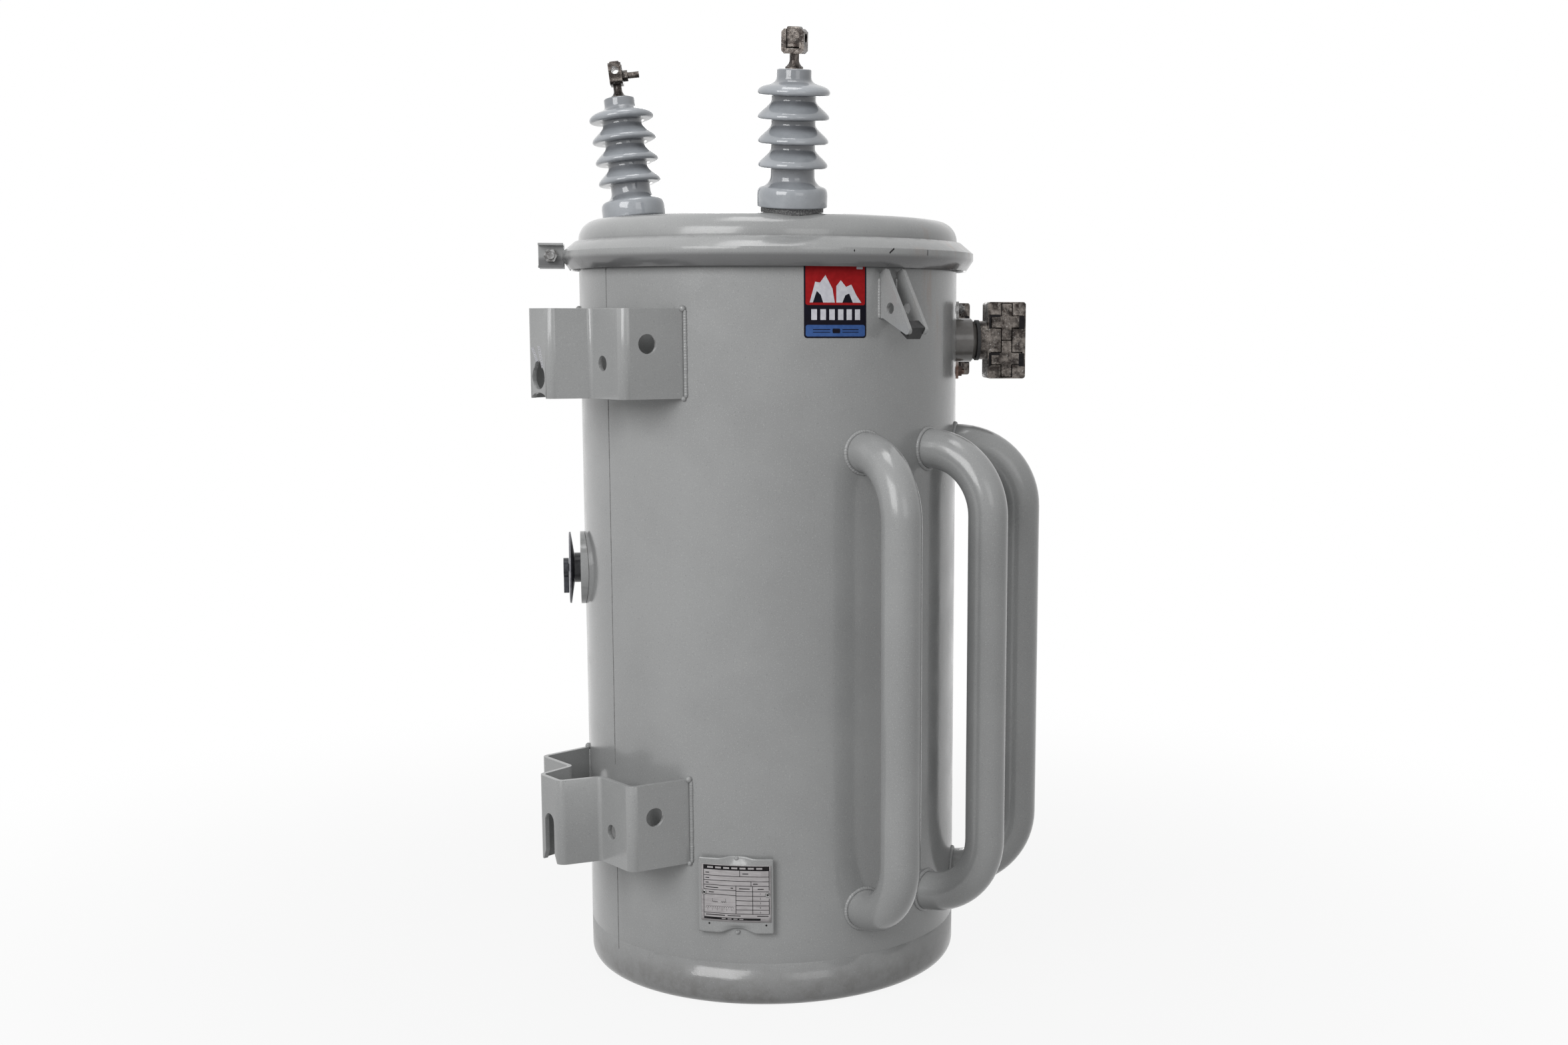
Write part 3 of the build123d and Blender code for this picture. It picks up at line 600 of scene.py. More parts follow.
def hv_frame(bushing):
    """Top of a high-voltage bushing, z along its axis, taken from its node's own shape."""
    a = math.radians(HV_DIRS[bushing - 1])
    x, up = Vector((-math.sin(a), math.cos(a), 0.0)), hv_up(bushing)
    y = up.cross(x)
    points = [v.co for v in frame["nodes"][f"hv_bushing_{bushing}_porcelain"].data.vertices]
    top = max(p.dot(up) for p in points)
    rim = [p for p in points if p.dot(up) > top - SAME_LEVEL]

    def middle(axis):
        return (max(p.dot(axis) for p in rim) + min(p.dot(axis) for p in rim)) / 2 * axis

    m = Matrix((x, y, up)).transposed().to_4x4()
    m.translation = middle(x) + middle(y) + up * top
    return m


def porcelain_outline():
    """Whole half outline, in millimetres."""
    points = list(PORC_COLLAR)
    widest = max(r for r, _ in PORC_SHED)
    for i, (under, reach) in enumerate(zip(SHED_UNDER, SHED_REACH)):
        shed = PORC_TOP_SHED if i == len(SHED_UNDER) - 1 else PORC_SHED
        stretch = (reach - PORC_CORE_R) / (widest - PORC_CORE_R)
        for r, z in shed:
            if r > PORC_CORE_R:
                r = PORC_CORE_R + (r - PORC_CORE_R) * stretch
            points.append((r, under + z))
    return points


def porcelains():
    """Glazed bodies with the rounded sheds; each stands for its plainer CAD node."""
    for i in (1, 2):
        bm = bmesh.new()
        where = hv_frame(i) @ Matrix.Translation((0.0, 0.0, -HV_BODY_H - HV_SEAT_DROP))
        lathe(bm, where, scaled(porcelain_outline()), seg=96)
        piece = add(f"hv_bushing_{i}_glazed_body", bm, "porcelain")
        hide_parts(f"hv_bushing_{i}_porcelain")


def terminal_change(bushing):
    """Takes a point of a terminal's node to its place on the shorter porcelain."""
    top = hv_frame(bushing)
    height = (max(z for _, z in PORC_TOP_SHED) + SHED_UNDER[-1]) * MM
    down = Matrix.Translation((0.0, 0.0, -(HV_BODY_H + HV_SEAT_DROP - height)))
    return top @ down @ Matrix.Scale(TERM_SCALE, 4) @ top.inverted()


def node_copy(node):
    """Bmesh of a CAD node's own mesh."""
    bm = bmesh.new()
    bm.from_mesh(frame["nodes"][node].data)
    return bm


def shorter_terminals():
    """Terminals and foot rings at the height of the shorter porcelain."""
    ring_top = 1.5 * MM
    for i in (1, 2):
        change = terminal_change(i)
        for part in ("terminal", "clamp_bolt"):
            bm = node_copy(f"hv_bushing_{i}_{part}")
            bmesh.ops.transform(bm, matrix=change, verts=bm.verts)
            piece = add(f"hv_bushing_{i}_{part}_fitted", bm, "tinned_metal", smooth=False)
            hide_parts(f"hv_bushing_{i}_{part}")
            soften(piece, 0.9)
        up = hv_up(i)
        bm = node_copy(f"hv_bushing_{i}_foot_ring")
        top = max(v.co.dot(up) for v in bm.verts)
        for v in bm.verts:
            if v.co.dot(up) > top - ring_top:
                v.co -= up * HV_SEAT_DROP
        piece = add(f"hv_bushing_{i}_foot_ring_fitted", bm, "dark_ring", smooth=False)
        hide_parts(f"hv_bushing_{i}_foot_ring")


# ---- threads ----
def thread(bm, where, radius, start, end, pitch):
    """Helical ridge on a round bar that runs along the local z axis of where."""
    seg = 28
    root, crest, flank = radius - 0.1 * MM, radius + 0.38 * MM, 0.46
    turns = max(1, int((end - start) / pitch) - 1)
    rows = []
    for k in range(turns * seg + 1):
        t = math.tau * k / seg
        z = start + pitch * (0.5 + k / seg)
        spoke = Vector((math.cos(t), math.sin(t), 0.0))
        row = []
        for r, dz in ((root, -flank), (crest, 0.0), (root, flank)):
            row.append(bm.verts.new(where @ (spoke * r + Vector((0.0, 0.0, z + dz * pitch)))))
        rows.append(row)
    for first, second in zip(rows, rows[1:]):
        for j in (0, 1):
            bm.faces.new((first[j], first[j + 1], second[j + 1], second[j]))


def hv_threads():
    """Thread on the free end of each clamp bolt, which lies across its bushing's axis."""
    for i, direction in enumerate(HV_DIRS, 1):
        up = hv_up(i)
        want = heading(-TERM_TURN * (1 if direction < 180 else -1))
        x = (want - up * want.dot(up)).normalized()
        y = up.cross(x)
        points = [v.co for v in frame["nodes"][f"hv_bushing_{i}_clamp_bolt"].data.vertices]
        tip = max(p.dot(x) for p in points)
        end = [p for p in points if p.dot(x) > tip - SAME_LEVEL]
        where = Matrix((y, -up, -x)).transposed().to_4x4()
        where.translation = sum(end, Vector()) / len(end)
        bm = bmesh.new()
        thread(bm, terminal_change(i) @ where, HV_BOLT_R, 0.0, HV_BOLT_END, HV_BOLT_PITCH)
        add(f"hv_bushing_{i}_bolt_thread", bm, "tinned_metal")


def small_threads():
    """Threads of the band's bolt and of the low-voltage flanges' studs."""
    bm = bmesh.new()
    where = radial(BAND_DIR, TANK_R + BAND_BOLT_AT[0], RIM_Z + BAND_BOLT_AT[1])
    where = where @ Matrix.Rotation(math.radians(90), 4, "Y")
    thread(bm, where, BAND_BOLT_R, *BAND_BOLT_SPAN, STUD_PITCH)
    for direction in LV_DIRS:
        for z in LV_STUD_Z:
            at = radial(direction, TANK_R + LV_NUT_FACE, z)
            thread(bm, at, LV_STUD_R, -0.2 * MM, LV_STUD_OUT - 0.4 * MM, STUD_PITCH)
    add("stud_threads", bm, "steel_hardware")


# ---- rigid pieces whose form differs from their CAD node's ----
def tank_base():
    """Pressed base with its small knuckle radius."""
    r, t, k = TANK_R, SHEET, BASE_ROUND
    outline = [(0.0, 0.0)] + [(x, z) for x, z, _ in arc(r - k, k, k, -90, 90, 12)]
    outline += [(r, BASE_RIM), (r - t, BASE_RIM)]
    outline += [(x, z) for x, z, _ in arc(r - k, k, k - t, 0, -90, 6)] + [(0.0, t)]
    bm = bmesh.new()
    lathe(bm, Matrix.Identity(4), outline, seg=192)
    piece = add("tank_base", bm, "tank_paint")
    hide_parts("tank_bottom")


def cooling_tubes():
    """Bent tubes with the wide bends of the real ones, sunk a little into the wall."""
    sides, bend, (top, low) = 48, TUBE_BEND, TUBE_ENDS
    start, centre, straight = TANK_R - TUBE_SUNK, TUBE_REACH - TUBE_BEND, top - low - 2 * TUBE_BEND
    path = [(start, top, 90.0)] + arc(centre, top - bend, bend, 90, -90, 18)
    path += [(TUBE_REACH, low + bend + straight * (1 - i / 8), 0.0) for i in range(1, 8)]
    path += arc(centre, low + bend, bend, 0, -90, 18) + [(start, low, -90.0)]
    for number, direction in enumerate(TUBE_DIRS, 1):
        where = radial(direction, 0.0, 0.0)
        bm = bmesh.new()
        rings = []
        for r, z, lean in path:
            out, up = math.cos(math.radians(lean)), math.sin(math.radians(lean))
            ring = []
            for k in range(sides):
                t = math.tau * k / sides
                x, y = TUBE_R * math.cos(t), TUBE_R * math.sin(t)
                ring.append(bm.verts.new(where @ Vector((x, z + y * up, r + y * out))))
            rings.append(ring)
        skin_rings(bm, rings)
        piece = add(f"cooling_tube_{number}_bent", bm, "tank_paint")
        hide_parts(f"cooling_tube_{number}")


def tap_dial():
    """Dished position dial with a blunt edge."""
    t, dish, hub, r, hole = DIAL_T, DIAL_DISH, DIAL_HUB_R, DIAL_R, SHAFT_HOLE_R
    outline = [(hole, 0.0), (hub, 0.0), (r - 0.5, dish), (r, dish + 0.4), (r, dish + t - 0.4),
               (r - 0.5, dish + t), (hub, t), (hole, t), (hole, 0.0)]
    bm = bmesh.new()
    lathe(bm, radial(TAP_DIR, DIAL_BACK, TAP_Z), scaled(outline), seg=96)
    piece = add("tap_dial_dished", bm, "black_plastic")
    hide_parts("tap_changer_dial")


def smooth_step(value, low, high):
    t = min(max((value - low) / (high - low), 0.0), 1.0)
    return t * t * (3 - 2 * t)


def curved_slab(name, xs, zs, bend, thick, slot):
    """Closed sheet round the wall; bend gives a point's (gap from the wall, rise), all in mm."""
    bm = bmesh.new()
    rims = []
    for lift in (0.0, thick):
        grid = []
        for z in zs:
            row = []
            for x in xs:
                gap, rise = bend(x, z)
                a = math.radians(PLATE_DIR) + x * MM / TANK_R
                here = polar(a, TANK_R + (gap + lift) * MM, PLATE_Z + (z + rise) * MM)
                row.append(bm.verts.new(here))
            grid.append(row)
        for low, high in zip(grid, grid[1:]):
            for i in range(len(xs) - 1):
                bm.faces.new((low[i], low[i + 1], high[i + 1], high[i]))
        right = [row[-1] for row in grid[1:]]
        left = [row[0] for row in grid[-2:0:-1]]
        rims.append(grid[0] + right + grid[-1][-2::-1] + left)
    back, front = rims
    for i in range(len(back)):
        n = (i + 1) % len(back)
        bm.faces.new((back[i], back[n], front[n], front[i]))
    return add(name, bm, slot)


def standing_nameplate():
    """Backing that stands off the wall on two bent tongues, and the label on it."""
    gap, tongue_gap, top_rise, low_rise = 5.6, 0.2, 2.5, 5.0
    middle, tongue_z, tongue_x = 1.5, (35.0, 50.0), (-25.0, -4.0)

    def bend(x, z):
        tongue = smooth_step(abs(z), *tongue_z) * smooth_step(-abs(x - middle), *tongue_x)
        return gap - (gap - tongue_gap) * tongue, (top_rise if z > 0 else low_rise) * tongue

    xs, zs = spread(-48.5, 95.0, 44), spread(-48.3, 98.0, 46)
    piece = curved_slab("nameplate_backing_bent", xs, zs, bend, 2.0, "tank_paint")
    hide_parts("nameplate_backing")
    xs, zs = spread(-44.2, 87.6, 24), spread(-32.8, 74.3, 10)
    thick = LABEL_T / MM
    seat = LABEL_FACE / MM - thick
    piece = curved_slab("nameplate_label", xs, zs, lambda x, z: (seat, 0.0), thick, "label_metal")
    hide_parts("nameplate")


# ---- flat marks, drawn in plain millimetres ----
def box_outline(x0, y0, x1, y1):
    return [(x0, y0), (x1, y0), (x1, y1), (x0, y1)]


def rounded(x0, y0, x1, y1, r, steps=6):
    """Outline of a box with round corners."""
    corners = ((x1 - r, y0 + r, -90), (x1 - r, y1 - r, 0),
               (x0 + r, y1 - r, 90), (x0 + r, y0 + r, 180))
    points = []
    for cx, cy, start in corners:
        points += [(x, y) for x, y, _ in arc(cx, cy, r, start, 90, steps)]
    return points


def stroke(p, q, width):
    """Outline of a straight line of that width."""
    dx, dy = q[0] - p[0], q[1] - p[1]
    k = width / 2 / math.hypot(dx, dy)
    nx, ny = -dy * k, dx * k
    left = [(p[0] + nx, p[1] + ny), (p[0] - nx, p[1] - ny)]
    return left + [(q[0] - nx, q[1] - ny), (q[0] + nx, q[1] + ny)]


def plain_number(text, size):
    """Faces of a plain number in the built-in font, centred."""
    curve = bpy.data.curves.new("number", "FONT")
    curve.body = text
    curve.size = size
    curve.align_x = "CENTER"
    curve.align_y = "CENTER"
    holder = bpy.data.objects.new("number", curve)
    mesh = bpy.data.meshes.new_from_object(holder)
    shapes = [[tuple(mesh.vertices[i].co[:2]) for i in face.vertices] for face in mesh.polygons]
    bpy.data.objects.remove(holder)
    bpy.data.meshes.remove(mesh)
    return shapes


def moved(shapes, dx, dy, turn=0.0):
    c, s = math.cos(math.radians(turn)), math.sin(math.radians(turn))
    return [[(x * c - y * s + dx, x * s + y * c + dy) for x, y in shape] for shape in shapes]


def marks(name, shapes, place, slot, finish, cut=0.0):
    """Thin printed shapes; place maps a flat point to space, and cut is the width of the strips
    that let them follow a curved surface."""
    bm = bmesh.new()
    for shape in shapes:
        bm.faces.new([bm.verts.new((x, y, 0.0)) for x, y in shape])
    if cut:
        low = min(v.co.x for v in bm.verts)
        high = max(v.co.x for v in bm.verts)
        for i in range(1, int((high - low) / cut) + 1):
            everything = bm.verts[:] + bm.edges[:] + bm.faces[:]
            line = {"plane_co": (low + i * cut, 0, 0), "plane_no": (1, 0, 0)}
            bmesh.ops.bisect_plane(bm, geom=everything, dist=1e-5, **line)
    for v in bm.verts:
        v.co = place(v.co.x, v.co.y)
    add(name, bm, slot, finish)


def wall_place(direction, z, lift):
    """Maps flat millimetres to the tank wall."""
    def place(x, y):
        r = TANK_R + lift
        return polar(math.radians(direction) + x * MM / r, r, z + y * MM)
    return place


def decal():
    """Square sticker under the band: coloured panels with plain geometric shapes."""
    w, h = 41.0, 46.0
    layers = (
        ("decal_border", [rounded(-w, -h, w, h, 4.0)], "decal_navy"),
        ("decal_upper_panel", [rounded(-w + 2, -6, w - 2, h - 2, 2.5)], "decal_red"),
        ("decal_lower_panel", [rounded(-w + 2, -h + 2, w - 2, -h + 16, 2.5)], "decal_blue"),
        ("decal_shapes", decal_shapes(w, h), "decal_white"),
        ("decal_dark_shapes", decal_dark_shapes(), "decal_navy"),
    )
    for i, (name, shapes, finish) in enumerate(layers):
        place = wall_place(DECAL_DIR, DECAL_Z, SKIN * (1 + 0.35 * i))
        marks(name, shapes, place, "label_metal", finish, cut=4.0)


def decal_shapes(w, h):
    """White hills in the upper panel with a small tag, and a row of plain bars below them."""
    hills = [
        [(-34, -3), (-2, -3), (-5, 14), (-14, 30), (-21, 21), (-27, 22)],
        [(0, -3), (34, -3), (27, 6), (20, 19), (13, 16), (6, 24), (0, 17)],
    ]
    bars = [box_outline(-32 + 11.4 * i, -24, -32 + 11.4 * i + 7.2, -11) for i in range(6)]
    return hills + bars + [rounded(w - 14, h - 8.5, w - 5, h - 5.5, 1.2)]


def decal_dark_shapes():
    """Shaded sides of the hills, and plain lines with a tag in the lower panel."""
    shapes = [[(-30, -3), (-17, -3), (-20, 6), (-25, 11)], [(8, -3), (22, -3), (17, 8), (12, 6)]]
    for low, high in ((-36.2, -35.2), (-39.2, -38.4)):
        shapes += [box_outline(-30, low, -8, high), box_outline(8, low, 30, high)]
    return shapes + [rounded(-5, -40, 5, -34.5, 1.2)]


def nameplate_printing():
    """Ruled table, bare bars where the wording was, and plain row numbers."""
    x0, x1, y0, y1 = -42.4, 42.4, -35.6, 37.2
    w, h = x1 - x0, y1 - y0
    line, word = 0.75, 1.1

    def at(u, v):
        """Place of a share of the table's width from its left and of its height from its top."""
        return x0 + u * w, y1 - v * h

    def rule(u0, v0, u1, v1, width=line):
        return stroke(at(u0, v0), at(u1, v1), width)

    ink = [box_outline(x0, y1 - 0.085 * h, x1, y1)]
    ink.append(box_outline(x0, y0 + 0.02 * h, x0 + 0.87 * w, y0 + 0.06 * h))
    level = ((0, 1, (0.19, 0.275, 0.36, 0.865)), (0, 0.5, (0.445, 0.53)),
             (0.5, 1, (0.455, 0.54, 0.625, 0.71, 0.79)))
    ink += [rule(u0, v, u1, v) for u0, u1, rows in level for v in rows]
    ink += [rule(u, v0, u, v1) for u, v0, v1 in (
        (0, 0, 0.44), (0, 0.55, 0.94), (1, 0, 0.43), (1, 0.58, 0.865), (0.56, 0.085, 0.19),
        (0.73, 0.275, 0.36), (0.5, 0.36, 0.865), (0.755, 0.36, 0.865))]
    words = ((0.03, 0.14, 0.06), (0.6, 0.14, 0.09), (0.03, 0.235, 0.06), (0.03, 0.32, 0.05),
             (0.76, 0.32, 0.07), (0.03, 0.405, 0.2), (0.42, 0.405, 0.04), (0.55, 0.41, 0.16),
             (0.83, 0.41, 0.09), (0.08, 0.49, 0.08), (0.03, 0.9, 0.3), (0.37, 0.9, 0.2),
             (0.82, 0.9, 0.17))
    ink += [rule(u, v, u + d, v, word) for u, v, d in words]
    ink += winding_sketch(at, rule)
    for i in range(5):
        ink += moved(plain_number(str(i + 1), 3.4), *at(0.87, 0.497 + 0.084 * i))
    place = wall_place(PLATE_DIR, LABEL_Z, LABEL_FACE + 0.06 * MM)
    marks("nameplate_ink", ink, place, "black_plastic", "ink", cut=4.0)
    pale = [rule(0.06 + 0.125 * i, 0.043, 0.06 + 0.125 * i + 0.09, 0.043, 2.2) for i in range(7)]
    pale += [rule(0.28 + 0.09 * i, 0.96, 0.28 + 0.09 * i + 0.06, 0.96, 1.0) for i in range(4)]
    place = wall_place(PLATE_DIR, LABEL_Z, LABEL_FACE + 0.1 * MM)
    marks("nameplate_pale_marks", pale, place, "label_metal", "label_metal", cut=4.0)


def winding_sketch(at, rule):
    """Two rows of small loops with their leads, drawn in thin lines."""
    thin = 0.3
    shapes = [rule(u, 0.6, u, 0.66, thin) for u in (0.14, 0.34)]
    shapes += [rule(u0, 0.66, u1, 0.66, thin) for u0, u1 in ((0.14, 0.22), (0.27, 0.34))]
    half_turn = [math.pi * k / 6 for k in range(7)]
    for u0, u1, v, loops in ((0.04, 0.46, 0.77, 12), (0.13, 0.22, 0.68, 3), (0.27, 0.35, 0.68, 3)):
        step = (u1 - u0) / loops
        for i in range(loops):
            loop = [at(u0 + step * (i + 0.5 - 0.5 * math.cos(t)), v - 0.03 * math.sin(t))
                    for t in half_turn]
            shapes += [stroke(p, q, thin) for p, q in zip(loop, loop[1:])]
    return shapes + [rule(0.06 + 0.075 * i, 0.78, 0.06 + 0.075 * i, 0.82, thin) for i in range(6)]


def connector_hollow_shades():
    """Flat dark marks of painted shade, boxes of (reach, height) in mm, beside the keepers where
    the cast recesses are.
    """
    face = 22.07
    hollow_shades = ((338.2, 863.2, 345.6, 881.0), (338.2, 813.0, 345.6, 830.6),
               (297.0, 879.2, 312.0, 882.6), (297.0, 828.0, 312.0, 831.6),
               (297.0, 863.6, 299.4, 879.0), (297.0, 813.0, 299.4, 828.0))
    for i, direction in enumerate(LV_DIRS, 1):
        out = heading(direction)
        side = Vector((out.y, -out.x, 0.0)) * face * MM

        def place(reach, z):
            return out * reach * MM + side + Vector((0.0, 0.0, z * MM))

        shapes = [box_outline(*hollow) for hollow in hollow_shades]
        # Dark marks of painted shade where the connector's recesses are.
        marks(f"lv_connector_{i}_hollows", shapes, place, "black_plastic", "ink")


def rivets():
    """Two tubular rivets on the nameplate, with dark discs of painted shade in them and over the
    open holes in its backing.
    """
    profile = ((3.3, -0.1), (3.2, 0.5), (2.6, 1.0), (1.9, 1.15), (1.3, 0.9), (1.1, 0.3))
    bm = bmesh.new()
    # Dark discs of painted shade, in the rivets and over the backing's holes.
    dark = bmesh.new()

    def on_plate(r, x, z):
        return radial(PLATE_DIR + math.degrees(x * MM / r), r, LABEL_Z + z * MM)

    for x, z in ((-41.6, 0.6), (40.6, -0.4)):
        where = on_plate(TANK_R + LABEL_FACE, x, z)
        lathe(bm, where, scaled(profile))
        lathe(dark, where, scaled(((1.15, 0.32), (0.0, 0.32))))
    for x, z in ((-35.5, -40.3), (38.5, -40.6)):
        where = on_plate(TANK_R + LABEL_FACE - LABEL_T, x, z)
        lathe(dark, where, scaled(((1.3, 0.05), (0.0, 0.05))))
    add("nameplate_rivets", bm, "steel_hardware")
    add("nameplate_hole_shade", dark, "black_plastic", "ink", smooth=False)


def dial_rise(r):
    """Height of the dished dial's face over its middle, in millimetres."""
    return max(0.0, (r - DIAL_HUB_R) / (DIAL_R - DIAL_HUB_R)) * DIAL_DISH


def dial_marks():
    """Pale skin on the dial with its rim, and the position marks printed on it."""
    where = radial(TAP_DIR, DIAL_BACK + DIAL_T * MM, TAP_Z)
    skin, mark_skin, edge = 0.12, 0.3, DIAL_R + 0.1
    bm = bmesh.new()
    outline = [(SHAFT_HOLE_R + 1, skin), (DIAL_HUB_R, skin), (DIAL_R - 0.5, DIAL_DISH + skin),
               (edge, DIAL_DISH - 0.4), (edge, DIAL_DISH - 2.2)]
    lathe(bm, where, scaled(outline), seg=96)
    add("tap_dial_face", bm, "label_metal", "dial_metal")

    def place(x, y):
        return where @ Vector((x * MM, y * MM, (dial_rise(math.hypot(x, y)) + mark_skin) * MM))

    shapes = []
    for i in range(5):
        turn = 30.0 * i - 60.0
        a = math.radians(turn - 90.0)
        text, *tick = [(r * math.cos(a), r * math.sin(a)) for r in (DIAL_TEXT_R, *DIAL_TICK)]
        shapes += moved(plain_number(str(i + 1), 6.4), *text, turn)
        shapes.append(stroke(*tick, 1.0))
    marks("tap_dial_marks", shapes, place, "black_plastic", "ink", cut=2.0)


def band_scratches():
    """Small dark scratches on the cover band, drawn in tenths of a degree and mm over the rim."""
    lines = [stroke((2797, 6.5), (2797.4, 13.4), 2.2), stroke((2676, 13.6), (2661, 8.0), 2.2),
             stroke((2556, 9.0), (2558, 11.0), 2.6)]

    def place(x, y):
        return polar(math.radians(x / 10), BAND_SKIN_R, RIM_Z + y * MM)

    marks("band_scratches", lines, place, "black_plastic", "ink")


def chalk_marks():
    """Two pale ladder-like strokes on the upper bracket beside its keyhole."""
    low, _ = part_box("upper_hanger_bracket")
    where = radial(180.0, -low.x, 0.0)
    rungs, edge, rung, lift = 9, 0.7, 0.6, 0.04 * MM

    def place(x, y):
        return where @ Vector((x * MM, y * MM, lift))

    shapes = []
    for p, q, gap in (((-15.6, 840.3), (-4.1, 823.1), 5.0), ((0.2, 842.5), (8.6, 815.3), 4.9)):
        shapes += [stroke(p, q, edge), stroke((p[0] + gap, p[1]), (q[0] + gap, q[1]), edge)]
        for i in range(rungs):
            t = (i + 0.5) / rungs
            left = (p[0] + (q[0] - p[0]) * t, p[1] + (q[1] - p[1]) * t)
            shapes.append(stroke(left, (left[0] + gap, left[1] + 0.8), rung))
    marks("bracket_chalk", shapes, place, "label_metal", "decal_white")


# ---- CAD nodes ----
# Width of the rounding at a node's edges, in millimetres.
SOFT_EDGES = {
    "lower_hanger_bracket": 0.9, "upper_hanger_bracket": 0.9, "cover_band": 0.5,
    "lifting_lug_1_ears": 0.8, "lifting_lug_2_ears": 0.8,
}
for part, width in (("connector", 1.1), ("keepers", 1.1), ("flange", 0.5)):
    SOFT_EDGES.update({f"lv_bushing_{i}_{part}": width for i in (1, 2, 3)})


def soften(piece, width):
    """Rounds a piece's sharp edges by modifiers; width is in millimetres."""
    weld = piece.modifiers.new("weld", "WELD")
    weld.merge_threshold = 0.01 * MM
    bevel = piece.modifiers.new("bevel", "BEVEL")
    bevel.width = width * MM
    bevel.segments = 2
    bevel.limit_method = "ANGLE"
    bevel.angle_limit = math.radians(38)
    bevel.harden_normals = True


def dress_nodes():
    """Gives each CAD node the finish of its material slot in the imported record."""
    for part in frame["record"]["subparts"]:
        node, slot = part["node"], part["material_slot"]
        piece = frame["nodes"][node]
        piece.data.materials.clear()
        piece.data.materials.append(FINISHES[slot])
        if node in SOFT_EDGES:
            soften(piece, SOFT_EDGES[node])


FINISHES = {
    "tank_paint": paint_finish(),
    "porcelain": porcelain_finish(),
    "tinned_metal": tinned_finish(),
    "dark_ring": ring_finish(),
    "black_rubber": mottled_finish(
        "black_rubber", (22, 22, 24), (42, 41, 42), 0.6, (90.0, 3.0), 700.0, 0.0002, 0.4),
    "bushing_gray": mottled_finish(
        "gray_resin", (104, 101, 98), (122, 119, 116), 0.22, (60.0, 4.0), 500.0, 0.0003, 0.25,
        Coat_Weight=0.2),
    "steel_hardware": steel_finish(),
    "label_metal": label_finish(),
    "black_plastic": mottled_finish(
        "black_plastic", (34, 35, 40), (56, 58, 66), 0.3, (200.0, 3.0), 800.0, 0.0002, 0.3),
    "seam_shade": plain_finish("seam_shade", (112, 112, 112), (128, 128, 128), 0.5),
    # Black for print and scratches, and for the painted shade of the connector recesses and the
    # rivet holes.
    "ink": plain_finish("black_ink_and_shade", (20, 19, 21), (34, 32, 34), 0.5),
    "dial_metal": plain_finish("dial_metal", (124, 124, 128), (146, 146, 150), 0.45),
    "decal_navy": plain_finish("decal_navy", (6, 4, 16), (10, 8, 24), 0.6),
    "decal_red": plain_finish("decal_red", (150, 20, 24), (166, 26, 30), 0.55),
    "decal_blue": plain_finish("decal_blue", (56, 88, 146), (66, 98, 156), 0.55),
    "decal_white": plain_finish("decal_white", (200, 200, 208), (216, 216, 222), 0.5),
}
FINISHES["core_fill"] = FINISHES["steel_hardware"]

dress_nodes()
bracket_welds()
lug_welds()
tube_welds()
seam_weld()
plate_welds()
porcelains()
shorter_terminals()
hv_threads()
small_threads()
tank_base()
cooling_tubes()
tap_dial()
standing_nameplate()
connector_hollow_shades()
decal()
nameplate_printing()
rivets()
dial_marks()
band_scratches()
chalk_marks()


# ---- stage, lamps and camera ----
WHITE = (1.0, 1.0, 1.0, 1.0)
WORLD_LIGHT = 0.36
FLOOR_TONE = (0.38, 0.38, 0.38, 1.0)
FLOOR_HALF = 12.0
# The floor glows white for the camera: this much near the object, and fully farther out.
FLOOR_FADE = (0.45, 1.8)
FLOOR_GLOW = (0.9, 1.0)
# Name, place, point it faces, width and height in metres, power in watts.
LAMPS = (
    ("key", (-3.45, -1.15, 2.35), (0.0, 0.0, 0.65), 2.2, 2.2, 86.0),
    ("fill", (-0.9, -3.6, 1.9), (0.0, 0.0, 0.65), 1.6, 1.6, 11.0),
    ("ceiling", (-0.3, -0.2, 3.2), (0.0, 0.0, 1.0), 1.0, 1.2, 15.0),
    ("rear_low", (2.1, 2.85, 1.75), (0.0, 0.0, 1.0), 0.5, 2.4, 16.0),
)
CAMERA_BEARING = 233.51
CAMERA_DISTANCE = 2.5198
CAMERA_HEIGHT = 0.874
CAMERA_DOWN = 8.454
CAMERA_RIGHT = 3.4415
CAMERA_ROLL = 0.1277
CAMERA_LENS = 42.33
CAMERA_SHIFT = (-0.0617, 0.0461)


def background_share(tree):
    """1 for rays from the camera, mirrors and glass, 0 for rays that light the object."""
    path = tree.nodes.new("ShaderNodeLightPath")
    total = path.outputs["Is Camera Ray"]
    for ray in ("Is Glossy Ray", "Is Transmission Ray"):
        node = tree.nodes.new("ShaderNodeMath")
        node.operation = "MAXIMUM"
        tree.links.new(total, node.inputs[0])
        tree.links.new(path.outputs[ray], node.inputs[1])
        total = node.outputs["Value"]
    return total


def make_world():
    """Even light on the object, and white for the camera, mirrors and glass."""
    world = bpy.data.worlds.new("studio")
    bpy.context.scene.world = world
    world.use_nodes = True
    tree = world.node_tree
    tree.nodes.clear()
    shades = []
    for strength in (WORLD_LIGHT, 1.0):
        node = tree.nodes.new("ShaderNodeBackground")
        node.inputs["Color"].default_value = WHITE
        node.inputs["Strength"].default_value = strength
        shades.append(node.outputs["Background"])
    mix = tree.nodes.new("ShaderNodeMixShader")
    out = tree.nodes.new("ShaderNodeOutputWorld")
    tree.links.new(background_share(tree), mix.inputs["Fac"])
    tree.links.new(shades[0], mix.inputs[1])
    tree.links.new(shades[1], mix.inputs[2])
    tree.links.new(mix.outputs["Shader"], out.inputs["Surface"])


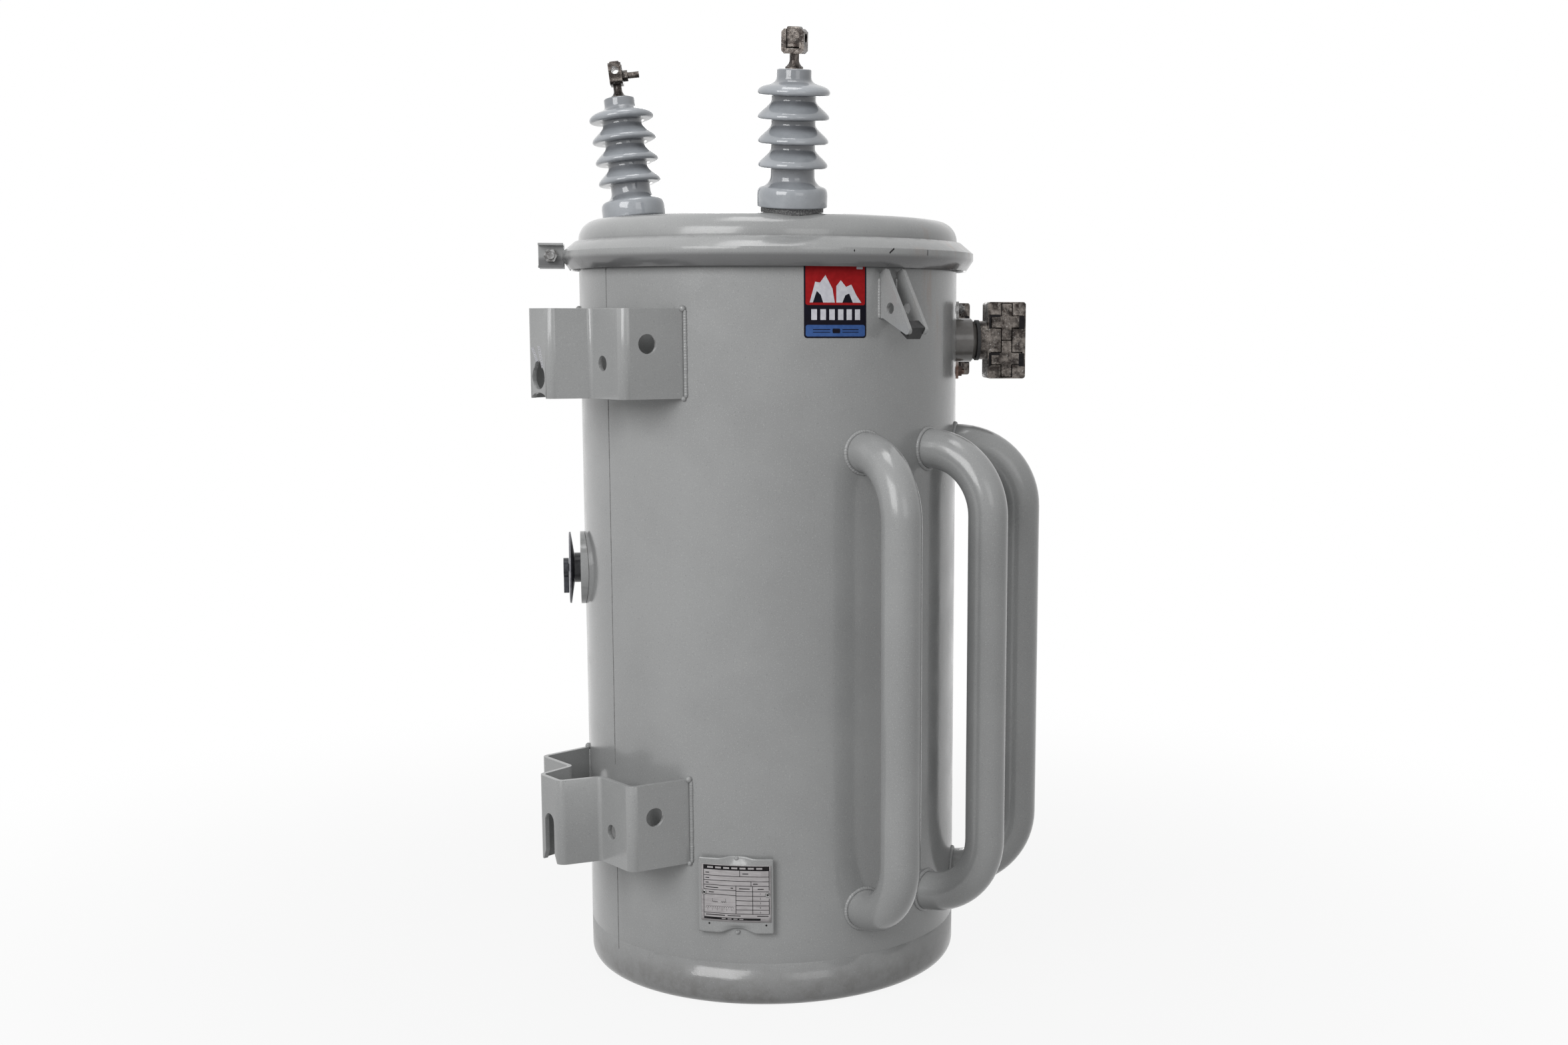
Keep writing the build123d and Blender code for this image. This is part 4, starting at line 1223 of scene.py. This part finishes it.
def make_floor():
    """Pale floor that keeps the object's shadow and fades to white."""
    mesh = bpy.data.meshes.new("floor")
    r = FLOOR_HALF
    mesh.from_pydata([(-r, -r, 0), (r, -r, 0), (r, r, 0), (-r, r, 0)], [], [(0, 1, 2, 3)])
    floor = bpy.data.objects.new("floor", mesh)
    bpy.context.scene.collection.objects.link(floor)
    f = Finish("pale_floor", 0.9)
    f.colour(FLOOR_TONE)
    fade = f.ramp(f.vector("LENGTH", f.place), *FLOOR_FADE, *FLOOR_GLOW)
    glow = f.node("Emission", Strength=1.0)
    mix = f.node("MixShader")
    share = f.maths("MULTIPLY", fade, background_share(f.material.node_tree))
    f.links.new(share, mix.inputs["Fac"])
    f.links.new(f.shader.outputs["BSDF"], mix.inputs[1])
    f.links.new(glow.outputs["Emission"], mix.inputs[2])
    f.links.new(mix.outputs["Shader"], f.nodes["Material Output"].inputs["Surface"])
    mesh.materials.append(f.material)


def make_lamps():
    """Soft area lamps that the camera doesn't see."""
    for name, place, target, width, height, power in LAMPS:
        data = bpy.data.lights.new(name, "AREA")
        data.shape = "RECTANGLE"
        data.size = width
        data.size_y = height
        data.energy = power
        lamp = bpy.data.objects.new(name, data)
        bpy.context.scene.collection.objects.link(lamp)
        lamp.location = place
        lamp.visible_camera = False
        facing = Vector(target) - Vector(place)
        lamp.rotation_euler = facing.to_track_quat("-Z", "Y").to_euler()


def make_camera():
    """A camera 0.87 m up and 2.5 m from the tank axis, turned a little down and right."""
    bearing = math.radians(CAMERA_BEARING)
    down, right, roll = (math.radians(a) for a in (CAMERA_DOWN, CAMERA_RIGHT, CAMERA_ROLL))
    data = bpy.data.cameras.new("camera")
    data.sensor_width = 36.0
    data.lens = CAMERA_LENS
    data.shift_x, data.shift_y = CAMERA_SHIFT
    data.clip_start = 0.05
    data.clip_end = 60.0
    camera = bpy.data.objects.new("camera", data)
    bpy.context.scene.collection.objects.link(camera)
    away = Vector((-math.cos(bearing), -math.sin(bearing), 0.0))
    side = Vector((away.y, -away.x, 0.0))
    up = Vector((0.0, 0.0, 1.0))
    level = side * math.sin(right) + away * math.cos(right)
    look = level * math.cos(down) - up * math.sin(down)
    across = look.cross(up).normalized()
    high = across.cross(look)
    tilted = across * math.cos(roll) + high * math.sin(roll)
    high = tilted.cross(look)
    turn = Matrix((tilted, high, -look)).transposed().to_4x4()
    place = polar(bearing, CAMERA_DISTANCE, CAMERA_HEIGHT)
    camera.matrix_world = Matrix.Translation(place) @ turn
    bpy.context.scene.camera = camera


make_world()
make_floor()
make_lamps()
make_camera()
bpy.context.scene.view_settings.view_transform = "Standard"
